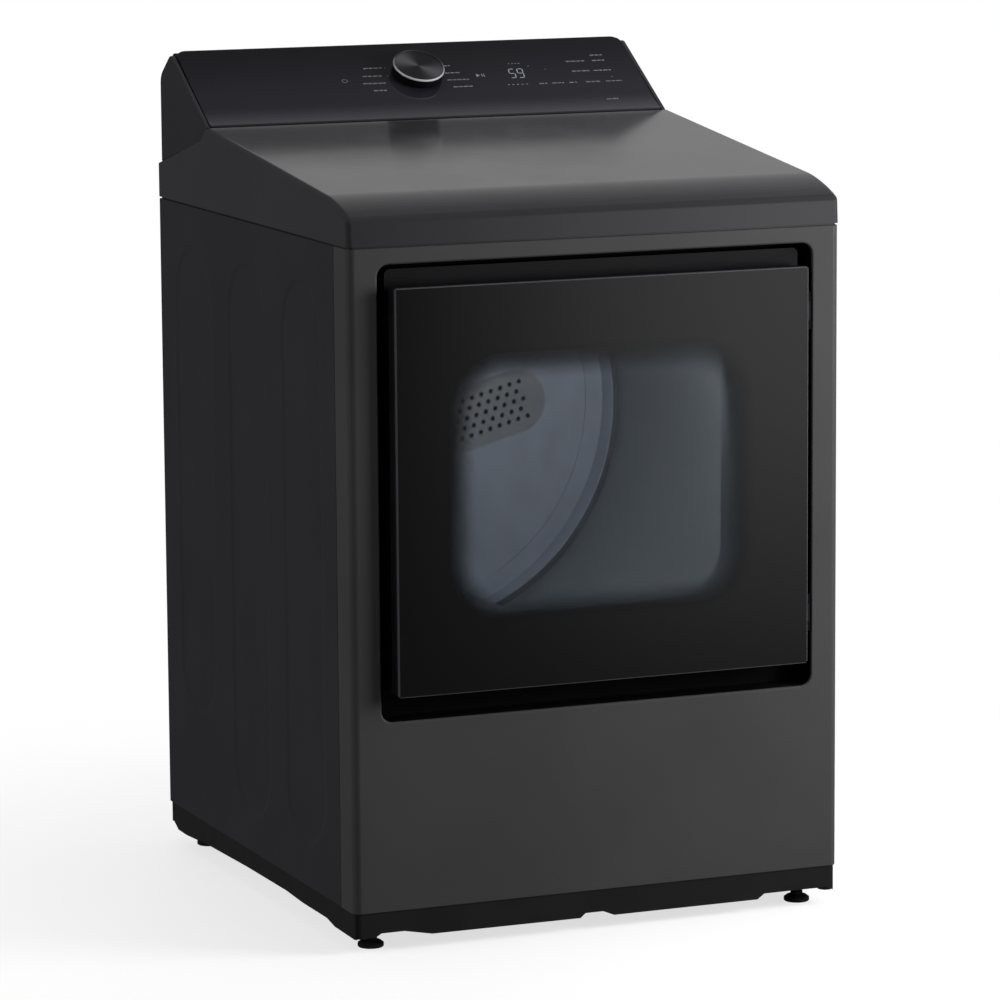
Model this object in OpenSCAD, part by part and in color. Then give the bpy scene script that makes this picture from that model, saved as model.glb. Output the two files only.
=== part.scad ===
// Full-size clothes dryer with a two-way door: the door swings to the left on its carrier frame,
// and drops forward on its lower edge as a hamper flap.
// Millimetres, +Z up. The origin is on the floor under the middle of the machine, and -Y is the front.

/* [Cabinet] */
// Width over the side panels
cab_w = 686; // [680:1:720]
// Depth from the face of the front panel to the back edges of the side panels
cab_d = 737; // [730:1:770]
// Height of the panels' lower edge above the floor
panel_bottom = 54; // [50:1:60]
// Height of the panels' upper edge above the floor
panel_top = 909.5; // [906:0.5:930]
// Thickness of the sheet metal
sheet = 1; // [0.8:0.1:1.2]
// Width of the folded flanges
flange = 14; // [12:1:18]
// Length of the front panel's wrap round each side
front_wrap = 50; // [40:1:70]
// Radius of the vertical front edges
front_edge_r = 10; // [6:1:14]
// Gap between the front panel's wrap and the side panel
panel_seam = 1.2; // [0.6:0.1:2]
// Depth of the pressed fields in the side panels
press_depth = 1.5; // [1:0.1:2.5]
// Width of a pressed field
field_w = 150; // [120:1:160]
// How far the back panel lies inside the side panels' back edges
back_inset = 3; // [2.6:0.1:6]

/* [Top cover] */
// Gap between the panels and the top cover
top_seam = 2.5; // [1.5:0.5:4]
// Height of the cover's upright front edge
fascia_h = 40; // [30:1:50]
// Radius where the upright front edge turns into the slope
fascia_r = 8; // [4:0.5:12]
// Distance of the end of the slope behind the front
crown_back = 50; // [40:1:70]
// Height of the end of the slope above the cover's lower edge
crown_rise = 57.5; // [50:0.5:60]
// Radius of the soft bend between the slope and the top
crown_r = 250; // [100:10:300]
// Height of the ridge in front of the console above the cover's lower edge
ridge_h = 109.5; // [100:0.5:120]
// Distance of the ridge from the back edge
ridge_back = 202; // [198:1:215]
// Wall of the cover
cover_wall = 1.5; // [1.2:0.1:2]

/* [Console] */
// Slope of the control face
face_slope = 31.9; // [28:0.1:36]
// Length of the control face up its slope
face_len = 176; // [165:1:182]
// Gap between the control face's ends and the cabinet's sides
face_side_gap = 10; // [8:1:16]
// Thickness of the glass on the control face
face_glass = 3; // [2:0.5:4]
// Wall of the console's housing
console_wall = 3; // [2:0.5:4]
// Thickness of an end cap
cap_t = 5.5; // [4:0.5:6]
// Knob's place across the face
knob_u = 0; // [-20:0.5:20]
// Knob's place up the face
knob_v = 103.5; // [80:0.5:110]
// Outer radius of the knob
knob_r = 36.5; // [28:0.5:40]
// Height of the knob above the glass
knob_h = 15; // [13:0.5:28]

/* [Door] */
// Distance of the door's sides from the cabinet's sides
door_inset = 55; // [52:1:62]
// Distance of the door's upper edge below the panels' upper edge
door_below = 49.5; // [46:0.5:56]
// Height of the door
door_h = 524; // [516:1:530]
// How far the door stands out in front of the panel
door_proud = 22; // [18:1:24]
// Thickness of the door's outer glass
glass_t = 4; // [3:0.5:5]
// Gap between the door's sides and the recess
side_gap = 15; // [14:0.5:18]
// Gap between the door's top and the recess
top_gap = 28; // [24:1:32]
// Gap between the door's bottom and the recess
bottom_gap = 34.5; // [30:0.5:40]
// Depth of the recess
recess_depth = 38; // [37.5:0.5:42]
// Width of the door's frame beside the window bowl
frame_side = 76; // [74:1:84]
// Width of the door's frame above and below the window bowl
frame_end = 91; // [89:1:100]
// Depth of the window bowl behind the door
bowl_depth = 56; // [40:1:58]
// Narrowing of the bowl on each side over its depth
bowl_taper = 12; // [8:1:20]
// Wall of the bowl
bowl_wall = 3; // [2:0.5:4]
// Corner radius of the bowl, the carrier's opening and the mouth
bowl_r = 72; // [50:1:80]
// Radius of a hinge pin
hinge_pin_r = 3; // [2.5:0.1:3]

/* [Drum] */
// Space between the drum and the cabinet's sides
drum_side = 26; // [25:1:32]
// Thickness of the drum's skin
drum_t = 1.2; // [0.8:0.1:1.5]
// Distance of the front bulkhead behind the face of the front panel
bulkhead_back = 112; // [110:1:116]
// Space between the drum and the cabinet's back edges
drum_back = 65; // [62:1:80]
// Height of a baffle above the drum's skin
baffle_h = 60; // [40:1:65]
// Angle of the first baffle at rest
baffle_turn = 40; // [0:1:119]
// Tilt of the air grille in the back of the drum
grille_tilt = 15; // [0:1:18]
// Radius of a support roller
roller_r = 32; // [26:1:34]
// Angle of the rollers from straight below the drum's axis
roller_angle = 40; // [36:1:44]

/* [Drive and air] */
// Motor shaft's place across the cabinet
motor_x = 90; // [86:1:94]
// Height of the motor's shaft above the floor
motor_z = 175; // [172:1:178]
// Radius of the motor's body
motor_r = 62; // [54:1:64]
// Length of the motor's body
motor_len = 140; // [120:1:145]
// Radius of the motor's belt pulley
pulley_r = 9.5; // [9:0.5:12]
// Radius of the idler pulley
idler_r = 20; // [16:0.5:22]
// Thickness of the belt
belt_t = 2.5; // [1.5:0.5:3]
// Width of the belt
belt_w = 8; // [6:0.5:9]
// Radius of the blower wheel
wheel_r = 80; // [72:1:82]
// Number of blades on the blower wheel
wheel_blades = 28; // [20:1:32]
// Outer radius of the exhaust pipe, for a 4 inch duct
exhaust_r = 50.8; // [50:0.1:51]
// Height of the lint filter
filter_h = 226; // [200:1:230]
// Radius of the heater coil
coil_r = 30; // [24:0.5:32]

/* [Feet] */
// Radius of a foot's pad
foot_r = 17; // [14:0.5:19]
// Radius of a foot's screw
foot_screw_r = 5; // [4:0.5:6]
// Distance of the feet from the cabinet's sides
foot_side = 38; // [34:1:42]
// Distance of the front feet behind the front panel
foot_front = 45; // [40:1:60]
// Distance of the back feet in front of the cabinet's back edge
foot_back = 57; // [50:1:70]

/* [Hidden] */
$fn = 64;
running = 0.05;      // radial clearance of a shaft in its bore
gap = 0.3;           // clearance of a moving piece beside a fixed one
seat_gap = 0.1;      // glue or paint between two pieces that are seated on each other
half_w = cab_w / 2;
front_y = door_proud - (cab_d + door_proud) / 2;
rear_y = front_y + cab_d;
back_y = rear_y - back_inset;      // outer face of the back panel
panel_h = panel_top - panel_bottom;
back_screw_r = 2.1;
back_screw_end = 30;               // distance of the outer back screws from the panels' ends
louvre_rows = 14;
louvre = [90, 6];
louvre_pitch = [120, 22];
louvre_z = panel_top - 440;
field_top = panel_top - 52;
field_shares = [0.187, 0.479, 0.7625];     // middles of the pressed fields, from the back edge
field_lifts = [149, 48, 54];        // heights of the fields above the panels' lower edge
field_bottoms = [for (lift = field_lifts) panel_bottom + lift];
cord_hole_r = 14.3;
cord_x = -(half_w - 78);
cord_z = panel_top - 190;
terminal = [72, 26, 46];
terminal_z = cord_z + 40;

// Top cover and console
cover_z = panel_top + top_seam;
ridge_y = rear_y - ridge_back;
ridge_z = cover_z + ridge_h;
seat_slope = 13.3;                 // fall of the console's seat towards the back
seat_y = ridge_y + 21;
seat_front_z = ridge_z - 18.5;
console_back = rear_y - 4;
console_shoulder = 32;             // top of the console's upright back, below its top edge
face_y = ridge_y + 5;
face_z = ridge_z + 1;
face_w = cab_w - 2 * face_side_gap;
cap_groove = 1.5;
board_drop = 14;                   // depth of the control board under the housing's face
board_t = 1.6;
board_v = [50, 136];
board_u = [knob_u - 84.5, face_w / 2 - 33];
post_inset = 6;
knob_stem_r = 3;
knob_hole_r = 6;
knob_cap_t = 3;      // bright cap on the knob
knob_clear = 0.5;    // air under the knob
display_u = 148;
display_v = 97;
display = [70, 36];

// Door, carrier and recess
door_y = front_y - door_proud;
door_w = cab_w - 2 * door_inset;
door_top = panel_top - door_below;
door_bottom = door_top - door_h;
bowl_w = door_w - 2 * frame_side;
bowl_h = door_h - 2 * frame_end;
drum_z = (door_top + door_bottom) / 2;
door_back_y = front_y + 4;
door_r = 4;
frame_back_y = front_y + 1.2;      // joint between the door's frame and its liner
recess_w = door_w + 2 * side_gap;
recess_top = door_top + top_gap;
recess_bottom = door_bottom - bottom_gap;
recess_r = 15;
recess_y = front_y + recess_depth;
carrier_y = front_y + 14;
carrier_back_y = recess_y - 4;
carrier_w = door_w + 2;
carrier_bottom = door_bottom + 1;
carrier_top = recess_top - 7;
carrier_open_w = bowl_w + 14;
carrier_open_h = bowl_h + 18;
carrier_wall = 3;
carrier_rim = 12;                  // land around the carrier's opening for its seal
mouth_w = bowl_w + 26;
mouth_h = bowl_h + 34;
swing_x = (door_w + side_gap) / 2;
swing_zs = [drum_z - 198, drum_z + 202];
knuckle_r = 5.5;
knuckle_h = 24;
ear_h = 12;
drop_y = front_y - 2;
drop_z = door_bottom + 8;
drop_x = 235;
lug_r = 6;
lug_w = 14;
lug_side = 2;                      // space on each side of a lug
boss_w = 12;
drop_pin = lug_w + 2 * (lug_side + boss_w);
bumper_z = door_top - 15;
bumper_r = 3;
catch_x = -(mouth_w / 2 + 37);
catch_peg_r = 4;
catch_z = drum_z + 42;
switch_x = -(door_w / 2 - 12);
switch_z = carrier_top - 25;
plunger_r = 3;

// Drum and its supports
bulkhead_y = front_y + bulkhead_back;
plate = 1.2;                       // thickness of the bulkheads
felt_w = 18;
drum_r = half_w - drum_side;
drum_y = bulkhead_y + felt_w;
drum_end = rear_y - drum_back;
drum_len = drum_end - drum_y;
rear_bulkhead_y = drum_end + felt_w;
collar_r = drum_r - drum_t - 9.8;
collar_len = 36.8;
felt_r = drum_r - drum_t - gap;
roller_w = 20;
roller_pin_r = 5;
roller_x = (drum_r + gap + roller_r) * sin(roller_angle);
roller_z = drum_z - (drum_r + gap + roller_r) * cos(roller_angle);
roller_front_y = drum_y + 12;
roller_rear_y = drum_end - 12 - roller_w;
grille_w = 276;
grille_h = 92;
grille_x = 78;
grille_z = drum_z + 2;
grille_end = grille_w / 2 - grille_h / 2;    // from the grille's middle to the middle of a round end
grille_pitch = 15;
grille_row = 13;
lamp_x = 90;
lamp_y = front_y + 76;
lamp = [46, 20, 16];
lamp_rim = 3;

// Air path
filter_y = front_y + 66;           // front of the filter's slot
filter_slot = 35;
filter_w = mouth_w - 2 * bowl_r - 6;
duct_t = 2.5;
filter_clear = 0.8;                // space beside the filter in its slot
filter_floor = motor_z - 66;
inlet_r = 58;
blower_y = bulkhead_y + 5.5;
blower_depth = 70;
scroll_r = wheel_r + 10.5;
exhaust_x = motor_x - 165;
exhaust_z = motor_z - 52;
pipe_t = 1;
pipe_r = exhaust_r + 1.2;          // the pipe in front of the collar that takes the hose
collar_grip = 38;
dish_r = 63;
dish_depth = 40;
wheel_y = blower_y + 9;
wheel_len = 52;
motor_y = blower_y + blower_depth + 17.5;
belt_y = motor_y + motor_len + 27;  // middle of the belt
shaft_r = 6;
hub_r = 14;
blade_len = 22;
collar_lip = 4;                    // height of the pulleys' rims
idler_rim = 3;
idler_pin_r = 4;
arm_reach = 26;                    // length of the idler arm beyond its pivot
arm_t = 4;
mount_w = 104;

// Belt run in the plane of the cabinet's front
drum_c = [0, drum_z];
pulley_c = [motor_x, motor_z];
idler_c = [motor_x - 70, motor_z + 15];
belt_drum_r = drum_r + gap;
belt_pulley_r = pulley_r + gap;
belt_idler_r = idler_r + gap + belt_t;
arm_pivot = [motor_x - 19.5, motor_z - 17.4];
arm_tip = arm_pivot + arm_reach * unit(arm_pivot - idler_c);
hook_c = [motor_x - 8, motor_z - 98];

// Heater
heater_x1 = half_w - 53;
heater_x0 = heater_x1 - 105;
heater_z0 = panel_bottom + 36;
heater_z1 = heater_z0 + 110;
heater_len = 256;
heater_y = rear_bulkhead_y - heater_len;
rear_duct_depth = 40;

// Feet
foot_x = half_w - foot_side;
foot_ys = [front_y + foot_front, rear_y - foot_back];
pad_h = 8;
foot_screw_h = panel_bottom + 21;
floor_t = 2;

// ---- outlines ----

function unit(v) = v / norm(v);
function wrap180(a) = a > 180 ? a - 360 : a < -180 ? a + 360 : a;
function polar(c, r, a) = c + r * [cos(a), sin(a)];
function next_of(pts, i) = pts[(i + 1) % len(pts)];
function last_of(pts, i) = pts[(i + len(pts) - 1) % len(pts)];

// arc of radius r that rounds the corner b between a and c
function corner_arc(a, b, c, r, n) = r <= 0 ? [b] :
  let (u = unit(a - b), w = unit(c - b), half = acos(u * w) / 2)
  let (centre = b + unit(u + w) * r / sin(half), p = b + u * r / tan(half), q = b + w * r / tan(half))
  let (start = atan2(p.y - centre.y, p.x - centre.x), end = atan2(q.y - centre.y, q.x - centre.x))
  [for (i = [0:n]) polar(centre, r, start + wrap180(end - start) * i / n)];

function rounded(pts, radii, n = 8) =
  [for (i = [0:len(pts) - 1]) each corner_arc(last_of(pts, i), pts[i], next_of(pts, i), radii[i], n)];

// outline moved inwards by t, for points listed anticlockwise
function inset(pts, t) = [for (i = [0:len(pts) - 1])
  let (d = unit(pts[i] - last_of(pts, i)), e = unit(next_of(pts, i) - pts[i]))
  let (m = [-d.y, d.x], n = [-e.y, e.x]) pts[i] + (m + n) * t / (1 + m * n)];

// rectangle with round corners, centred
module rounded_rect(w, h, r) {
  square([w - 2 * r, h], center = true);
  square([w, h - 2 * r], center = true);
  for (x = [-1, 1], y = [-1, 1]) translate([x * (w / 2 - r), y * (h / 2 - r)]) circle(r);
}

module ring_rect(w, h, r, t) {
  difference() {
    rounded_rect(w + 2 * t, h + 2 * t, r + t);
    rounded_rect(w, h, r);
  }
}

// upright slot with round ends between two heights
module stadium(w, z0, z1) {
  translate([-w / 2, z0 + w / 2]) square([w, z1 - z0 - w]);
  for (z = [z0 + w / 2, z1 - w / 2]) translate([0, z]) circle(w / 2);
}

// ---- placing ----

// outline in the plane of the front, made solid from y0 towards the back
module upright(y0, depth) translate([0, y0 + depth, 0]) rotate([90, 0, 0]) linear_extrude(depth) children();

// outline in the plane of the side, made solid from x0 to the right
module sideways(x0, width) translate([x0, 0, 0]) rotate([90, 0, 90]) linear_extrude(width) children();

// round piece with its axis along the depth, starting at y0
module along_y(x, y0, z) translate([x, y0, z]) rotate([-90, 0, 0]) children();

module rod_y(r, x, y0, z, depth) along_y(x, y0, z) cylinder(r = r, h = depth);

module tube_y(r, t, x, y0, z, depth) {
  along_y(x, y0, z) difference() {
    cylinder(r = r, h = depth);
    translate([0, 0, -1]) cylinder(r = r - t, h = depth + 2);
  }
}

module mirrored(axis = [1, 0, 0]) {
  children();
  mirror(axis) children();
}

// ---- cabinet ----

module side_fields(grow = 0) {
  for (i = [0:2]) translate([rear_y - field_shares[i] * cab_d, 0])
    stadium(field_w + 2 * grow, field_bottoms[i] - grow, field_top + grow);
}

module side_panel() {
  y0 = front_y + front_wrap + panel_seam;
  depth = rear_y - y0;
  color("#2c2b30") difference() {
    union() {
      translate([half_w - sheet, y0, panel_bottom]) cube([sheet, depth, panel_h]);
      for (y = [y0, back_y - 2 * sheet]) translate([half_w - flange, y, panel_bottom])
        cube([flange, sheet, panel_h]);
      for (z = [panel_bottom, panel_top - sheet]) translate([half_w - flange, y0, z])
        cube([flange, back_y - sheet - y0, sheet]);
      sideways(half_w - sheet - press_depth, press_depth) side_fields(sheet);
    }
    sideways(half_w - press_depth, press_depth + 1) side_fields();
    back_screw_places() rod_y(back_screw_r, 0, back_y - 5, 0, 6);
  }
}

module side_panel_left() mirror([1, 0, 0]) side_panel();

module side_panel_right() side_panel();

module front_plan(t) {
  w = 2 * (half_w - t);
  r = front_edge_r - t;
  translate([-w / 2, front_y + t + r]) square([w, front_wrap - t - r]);
  translate([-w / 2 + r, front_y + t]) square([w - 2 * r, front_wrap - t]);
  for (x = [-1, 1]) translate([x * (w / 2 - r), front_y + t + r]) circle(r);
}

module recess_outline(t = 0) {
  h = recess_top - recess_bottom;
  translate([0, recess_bottom + h / 2]) rounded_rect(recess_w + 2 * t, h + 2 * t, recess_r + t);
}

module mouth_outline(w = mouth_w, h = mouth_h, r = bowl_r) translate([0, drum_z]) rounded_rect(w, h, r);

module front_panel() {
  color("#3a3a3d") difference() {
    union() {
      difference() {
        translate([0, 0, panel_bottom]) linear_extrude(panel_h) front_plan(0);
        translate([0, 0, panel_bottom + sheet]) linear_extrude(panel_h - 2 * sheet) front_plan(sheet);
        translate([flange - half_w, front_y + flange, panel_bottom - 1])
          cube([cab_w - 2 * flange, front_wrap, panel_h + 2]);
        for (z = [panel_bottom - 1, panel_top - sheet]) translate([-half_w - 1, front_y + flange, z])
          cube([cab_w + 2, front_wrap, sheet + 1]);
      }
      mirrored() translate([half_w - flange, front_y + front_wrap - sheet, panel_bottom + 2 * sheet])
        cube([flange - sheet, sheet, panel_h - 4 * sheet]);
      upright(front_y, recess_depth + sheet) recess_outline(sheet);
    }
    upright(front_y - 1, recess_depth + 1) recess_outline();
    upright(recess_y - 1, sheet + 2) mouth_outline();
    rod_y(2 * catch_peg_r, catch_x, recess_y - 1, catch_z, sheet + 2);
    rod_y(plunger_r + 1, switch_x, recess_y - 1, switch_z, sheet + 2);
  }
}

module back_screw_places() {
  pitch = (panel_h - 2 * back_screw_end) / 4;
  for (i = [0:4]) translate([half_w - flange / 2 - sheet, 0, panel_bottom + back_screw_end + i * pitch])
    children();
}

module rear_panel() {
  w = cab_w - 2 * sheet - 2 * gap;
  color("#8d8f92") difference() {
    union() {
      translate([-w / 2, back_y - sheet, panel_bottom]) cube([w, sheet, panel_h]);
      rod_y(dish_r + sheet, exhaust_x, back_y - dish_depth, exhaust_z, dish_depth);
    }
    rod_y(dish_r, exhaust_x, back_y - dish_depth + sheet, exhaust_z, dish_depth + 1);
    rod_y(pipe_r + gap, exhaust_x, back_y - dish_depth - 1, exhaust_z, sheet + 2);
    rod_y(cord_hole_r, cord_x, back_y - sheet - 1, cord_z, sheet + 2);
    mirrored() back_screw_places() rod_y(back_screw_r, 0, back_y - sheet - 1, 0, sheet + 2);
    for (i = [0:louvre_rows - 1], k = [-1:1])
      translate([k * louvre_pitch.x - 15, back_y - sheet - 1, louvre_z + i * louvre_pitch.y])
        cube([louvre.x, sheet + 2, louvre.y]);
  }
}

// lower edge of the skirt under the front, from the left: share of half the width, height
front_skirt = [[-0.994, 24], [-0.921, 21], [-0.892, 26.5], [-0.8, 26.5], [-0.688, 19], [-0.082, 18.5],
  [-0.061, 24.5], [0.012, 24.5], [0.058, 18], [0.662, 18], [0.691, 25], [0.994, 25]];

// lower edge of the skirt under a side: share of the depth from the front, height
side_skirt = [[0.003, 20], [0.109, 21], [0.149, 26], [0.271, 26], [0.36, 28.5], [0.57, 27],
  [0.787, 23], [0.915, 17.5], [0.961, 18], [0.995, 30]];

// outline of a skirt under the pan, from its lower edge and the length of one share
module skirt_outline(edge, length) polygon(concat([for (p = edge) [p.x * length, p.y]],
  [[edge[len(edge) - 1].x * length, panel_bottom - 1], [edge[0].x * length, panel_bottom - 1]]));

module base_pan() {
  edge = 2;                        // how far the pan lies inside the panels
  w = cab_w - 2 * edge;
  post = front_edge_r;             // radius of the posts in the skirt's front corners
  color("#1d1d1f") difference() {
    intersection() {
      linear_extrude(panel_bottom) cover_plan(edge);
      union() {
        translate([-w / 2, front_y + edge, panel_bottom - floor_t])
          cube([w, cab_d - edge - back_inset - sheet, floor_t]);
        upright(front_y + edge, floor_t) skirt_outline(front_skirt, half_w);
        mirrored() sideways(w / 2 - floor_t, floor_t) translate([front_y, 0])
          skirt_outline(side_skirt, cab_d);
        mirrored() translate([w / 2 - post, front_y + edge + post, 21])
          cylinder(r = post, h = panel_bottom - 22);
        translate([-w / 2, back_y - sheet - floor_t, 26]) cube([w, floor_t, panel_bottom - 27]);
        foot_places() translate([0, 0, panel_bottom - 8]) cylinder(r = 12, h = 7);
      }
    }
    foot_places() cylinder(r = foot_screw_r + gap, h = foot_screw_h);
    translate([-half_w, back_y - sheet, 0]) cube([cab_w, 20, panel_bottom]);
  }
}

module foot_places() for (x = [-foot_x, foot_x], y = foot_ys) translate([x, y, 0]) children();

module foot(x, y) {
  color("#151515") translate([x, y, 0]) {
    rotate_extrude() polygon([[0, 0], [foot_r - 1, 0], [foot_r, 1], [foot_r, 5], [foot_r - 4, pad_h],
      [0, pad_h]]);
    cylinder(r = 9, h = pad_h + 5, $fn = 6);
    cylinder(r = foot_screw_r, h = foot_screw_h);
  }
}

module foot_front_left() foot(-foot_x, foot_ys[0]);

module foot_front_right() foot(foot_x, foot_ys[0]);

module foot_rear_left() foot(-foot_x, foot_ys[1]);

module foot_rear_right() foot(foot_x, foot_ys[1]);

// ---- top cover and console ----

cover_points = [[front_y, cover_z], [rear_y, cover_z], [rear_y, seat_height(rear_y) - 2],
  [seat_y, seat_front_z], [ridge_y, ridge_z], [front_y + crown_back, cover_z + crown_rise],
  [front_y + 2, cover_z + fascia_h]];
cover_radii = [0, 0, 6, 8, 7, crown_r, fascia_r];

function seat_height(y) = seat_front_z - (y - seat_y) * tan(seat_slope);

// plan of the cover, moved inwards by t
module cover_plan(t) {
  r = front_edge_r - t;
  translate([-half_w + t, front_y + t + r]) square([cab_w - 2 * t, cab_d - 2 * t - r]);
  translate([-half_w + t + r, front_y + t]) square([cab_w - 2 * (t + r), cab_d - 2 * t]);
  for (x = [-1, 1]) translate([x * (half_w - t - r), front_y + t + r]) circle(r);
}

module cover_block(t) {
  radii = [for (i = [0:len(cover_radii) - 1]) cover_radii[i] == 0 ? 0 : cover_radii[i] + (i == 3 ? t : -t)];
  intersection() {
    sideways(-half_w - 1, cab_w + 2) polygon(rounded(inset(cover_points, t), radii));
    translate([0, 0, cover_z - 1]) linear_extrude(ridge_h + 10) cover_plan(t);
  }
}

module top_cover() {
  lip = 3;
  color("#48484c") {
    difference() {
      cover_block(0);
      for (drop = [0, cover_wall + 0.5]) translate([0, 0, -drop]) cover_block(cover_wall);
    }
    translate([0, 0, panel_top]) linear_extrude(top_seam + 8) difference() {
      cover_plan(cover_wall - seat_gap);
      cover_plan(cover_wall + lip);
    }
  }
}

function face_pt(v, lift) = [face_y + v * cos(face_slope) - lift * sin(face_slope),
  face_z + v * sin(face_slope) + lift * cos(face_slope)];

module on_face(u, v, lift) {
  p = face_pt(v, lift);
  translate([u, p.x, p.y]) rotate([face_slope, 0, 0]) children();
}

// outline of the console's side, with its face lowered by drop and its front foot at foot_y
function console_points(drop, foot_y, top) = [[foot_y, seat_height(foot_y) + seat_gap],
  [console_back, seat_height(console_back) + seat_gap], [console_back, face_pt(top, 0).y - console_shoulder],
  face_pt(top, -drop), face_pt((foot_y - face_y - drop * sin(face_slope)) / cos(face_slope), -drop)];

module console_housing() {
  pts = console_points(face_glass + seat_gap, seat_y + 3, face_len + 2);
  radii = [0, 0, 20, 8, 3];
  w = face_w - 1;
  color("#141416") difference() {
    sideways(-w / 2, w) polygon(rounded(pts, radii));
    for (fall = [0, console_wall * 1.5]) translate([0, 0, -fall])
      sideways(-w / 2 + console_wall, w - 2 * console_wall)
        polygon(rounded(inset(pts, console_wall), [0, 0, 17, 5, 0]));
    on_face(knob_u, knob_v, -20) cylinder(r = knob_hole_r, h = 40);
    on_face(display_u - display.x / 2, display_v - display.y / 2, -face_glass - console_wall - 1)
      cube([display.x, display.y, console_wall + 2]);
  }
}

module console_caps() {
  pts = console_points(1, seat_y + 4, face_len - 3);
  color("#2a2a2d") mirrored() sideways(face_w / 2 + cap_groove, cap_t)
    polygon(rounded(pts, [2, 2, 20, 12, 4]));
}

module console_glass() {
  w = face_w / 2;
  color("#0d0d0f") difference() {
    on_face(0, 0, -face_glass) linear_extrude(face_glass) polygon(rounded([[-w, 3], [w, 3],
      [w, face_len], [-w, face_len]], [2, 2, 15, 15], 6));
    on_face(knob_u, knob_v, -20) cylinder(r = knob_hole_r, h = 40);
  }
}

module control_board() {
  under = face_glass + console_wall;
  top = -under - board_drop;
  color("#24543a") {
    difference() {
      union() {
        on_face(board_u[0], board_v[0], top - board_t)
          cube([board_u[1] - board_u[0], board_v[1] - board_v[0], board_t]);
        on_face(knob_u, knob_v, top) translate([-8, -8, 0]) cube([16, 16, 9]);
        on_face(knob_u, knob_v, top) cylinder(r = 5, h = board_drop + 1);
      }
      on_face(knob_u, knob_v, top + 2) cylinder(r = knob_stem_r + running, h = board_drop);
    }
    for (u = board_u + [post_inset, -post_inset], v = board_v + [post_inset, -post_inset])
      on_face(u, v, top) cylinder(r = 3, h = board_drop - 2 * seat_gap);
    on_face(display_u - display.x / 2 + 5, display_v - display.y / 2 + 4, top)
      cube([display.x - 10, display.y - 8, board_drop + console_wall - 1]);
  }
}

module knob_body() {
  skirt = knob_h - knob_cap_t - knob_clear - seat_gap;
  color("#101012") {
    on_face(knob_u, knob_v, knob_clear) difference() {
      cylinder(r = knob_r - 0.5, h = skirt);
      translate([0, 0, -1]) cylinder(r = knob_r - 3.5, h = skirt - 2);
    }
    on_face(knob_u, knob_v, knob_clear) cylinder(r = 7, h = skirt);
    on_face(knob_u, knob_v, -face_glass - console_wall - 10)
      cylinder(r = knob_stem_r, h = face_glass + console_wall + 20);
  }
}

module knob_cap() {
  top = knob_cap_t;
  color("#5b5b60") on_face(knob_u, knob_v, knob_h - top) rotate_extrude()
    polygon([[0, 0], [knob_r - 0.5, 0], [knob_r, 0.5], [knob_r, top - 1], [knob_r - 1.5, top],
      [knob_r - 3, top], [knob_r - 4, top - 1.2], [0, top - 1.8]]);
}

// ---- door ----

module door_outline(t) translate([0, drum_z]) rounded_rect(door_w - 2 * t, door_h - 2 * t, door_r);

module door_glass() color("#0b0b0d") upright(door_y, glass_t) door_outline(0);

module drop_notches() {
  w = lug_w + 2 * lug_side;
  mirrored() translate([drop_x - w / 2, drop_y - lug_r - 2, door_bottom - 1]) {
    cube([w, 40, drop_z - door_bottom + lug_r + 3]);
  }
}

module door_frame() {
  y0 = door_y + glass_t;
  depth = frame_back_y - y0;
  color("#141416") difference() {
    union() {
      difference() {
        upright(y0, depth) door_outline(0.5);
        upright(y0 + 2.5, depth) door_outline(3.5);
        upright(y0 - 1, depth) mouth_outline(bowl_w + 4, bowl_h + 4, bowl_r + 2);
      }
      mirrored() for (x = [drop_x - drop_pin / 2, drop_x + drop_pin / 2 - boss_w])
        translate([x, drop_y - 7, door_bottom + 1])
          cube([boss_w, frame_back_y - drop_y + 7, 2 * (drop_z - door_bottom)]);
    }
    drop_notches();
    mirrored() translate([drop_x - drop_pin / 2 - 0.01, drop_y, drop_z]) rotate([0, 90, 0])
      cylinder(r = hinge_pin_r, h = drop_pin + 0.02);
  }
}

module door_hinge_pins() {
  color("#b8b8bc") mirrored() translate([drop_x - drop_pin / 2, drop_y, drop_z])
    rotate([0, 90, 0]) cylinder(r = hinge_pin_r, h = drop_pin);
}

module door_liner() {
  color("#202024") difference() {
    union() {
      difference() {
        upright(frame_back_y, door_back_y - frame_back_y) door_outline(1);
        upright(frame_back_y - 1, 6) mouth_outline(bowl_w + 2 * gap, bowl_h + 2 * gap, bowl_r);
      }
      rod_y(bumper_r, 0, door_back_y - 1, bumper_z, carrier_y + 8 - door_back_y);
    }
    drop_notches();
  }
}

// solid block of the bowl's outer shape less t
module bowl_block(t, y0, y1) {
  hull() {
    upright(y0, 0.5) mouth_outline(bowl_w - 2 * t, bowl_h - 2 * t, bowl_r - t, $fn = 32);
    upright(y1 - 0.5, 0.5) mouth_outline(bowl_w - 2 * (t + bowl_taper), bowl_h - 2 * (t + bowl_taper),
      bowl_r - t, $fn = 32);
  }
}

module door_window() {
  flange_y = frame_back_y - 2;
  color("#3a424c") difference() {
    union() {
      upright(flange_y, 2) mouth_outline(bowl_w + 20, bowl_h + 20, bowl_r + 10, $fn = 32);
      bowl_block(0, frame_back_y, door_back_y + bowl_depth);
    }
    bowl_block(bowl_wall, flange_y - 1, door_back_y + bowl_depth - bowl_wall);
  }
}

module door_seal() {
  color("#2b2b2d") upright(door_back_y, carrier_y - gap - door_back_y) difference() {
    mouth_outline(carrier_open_w + 28, carrier_open_h + 28, bowl_r + 14);
    mouth_outline(carrier_open_w + 10, carrier_open_h + 10, bowl_r + 5);
  }
}

module carrier_outline(t) {
  h = carrier_top - carrier_bottom;
  translate([0, carrier_bottom + h / 2]) rounded_rect(carrier_w - 2 * t, h - 2 * t, 8 - t);
}

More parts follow.
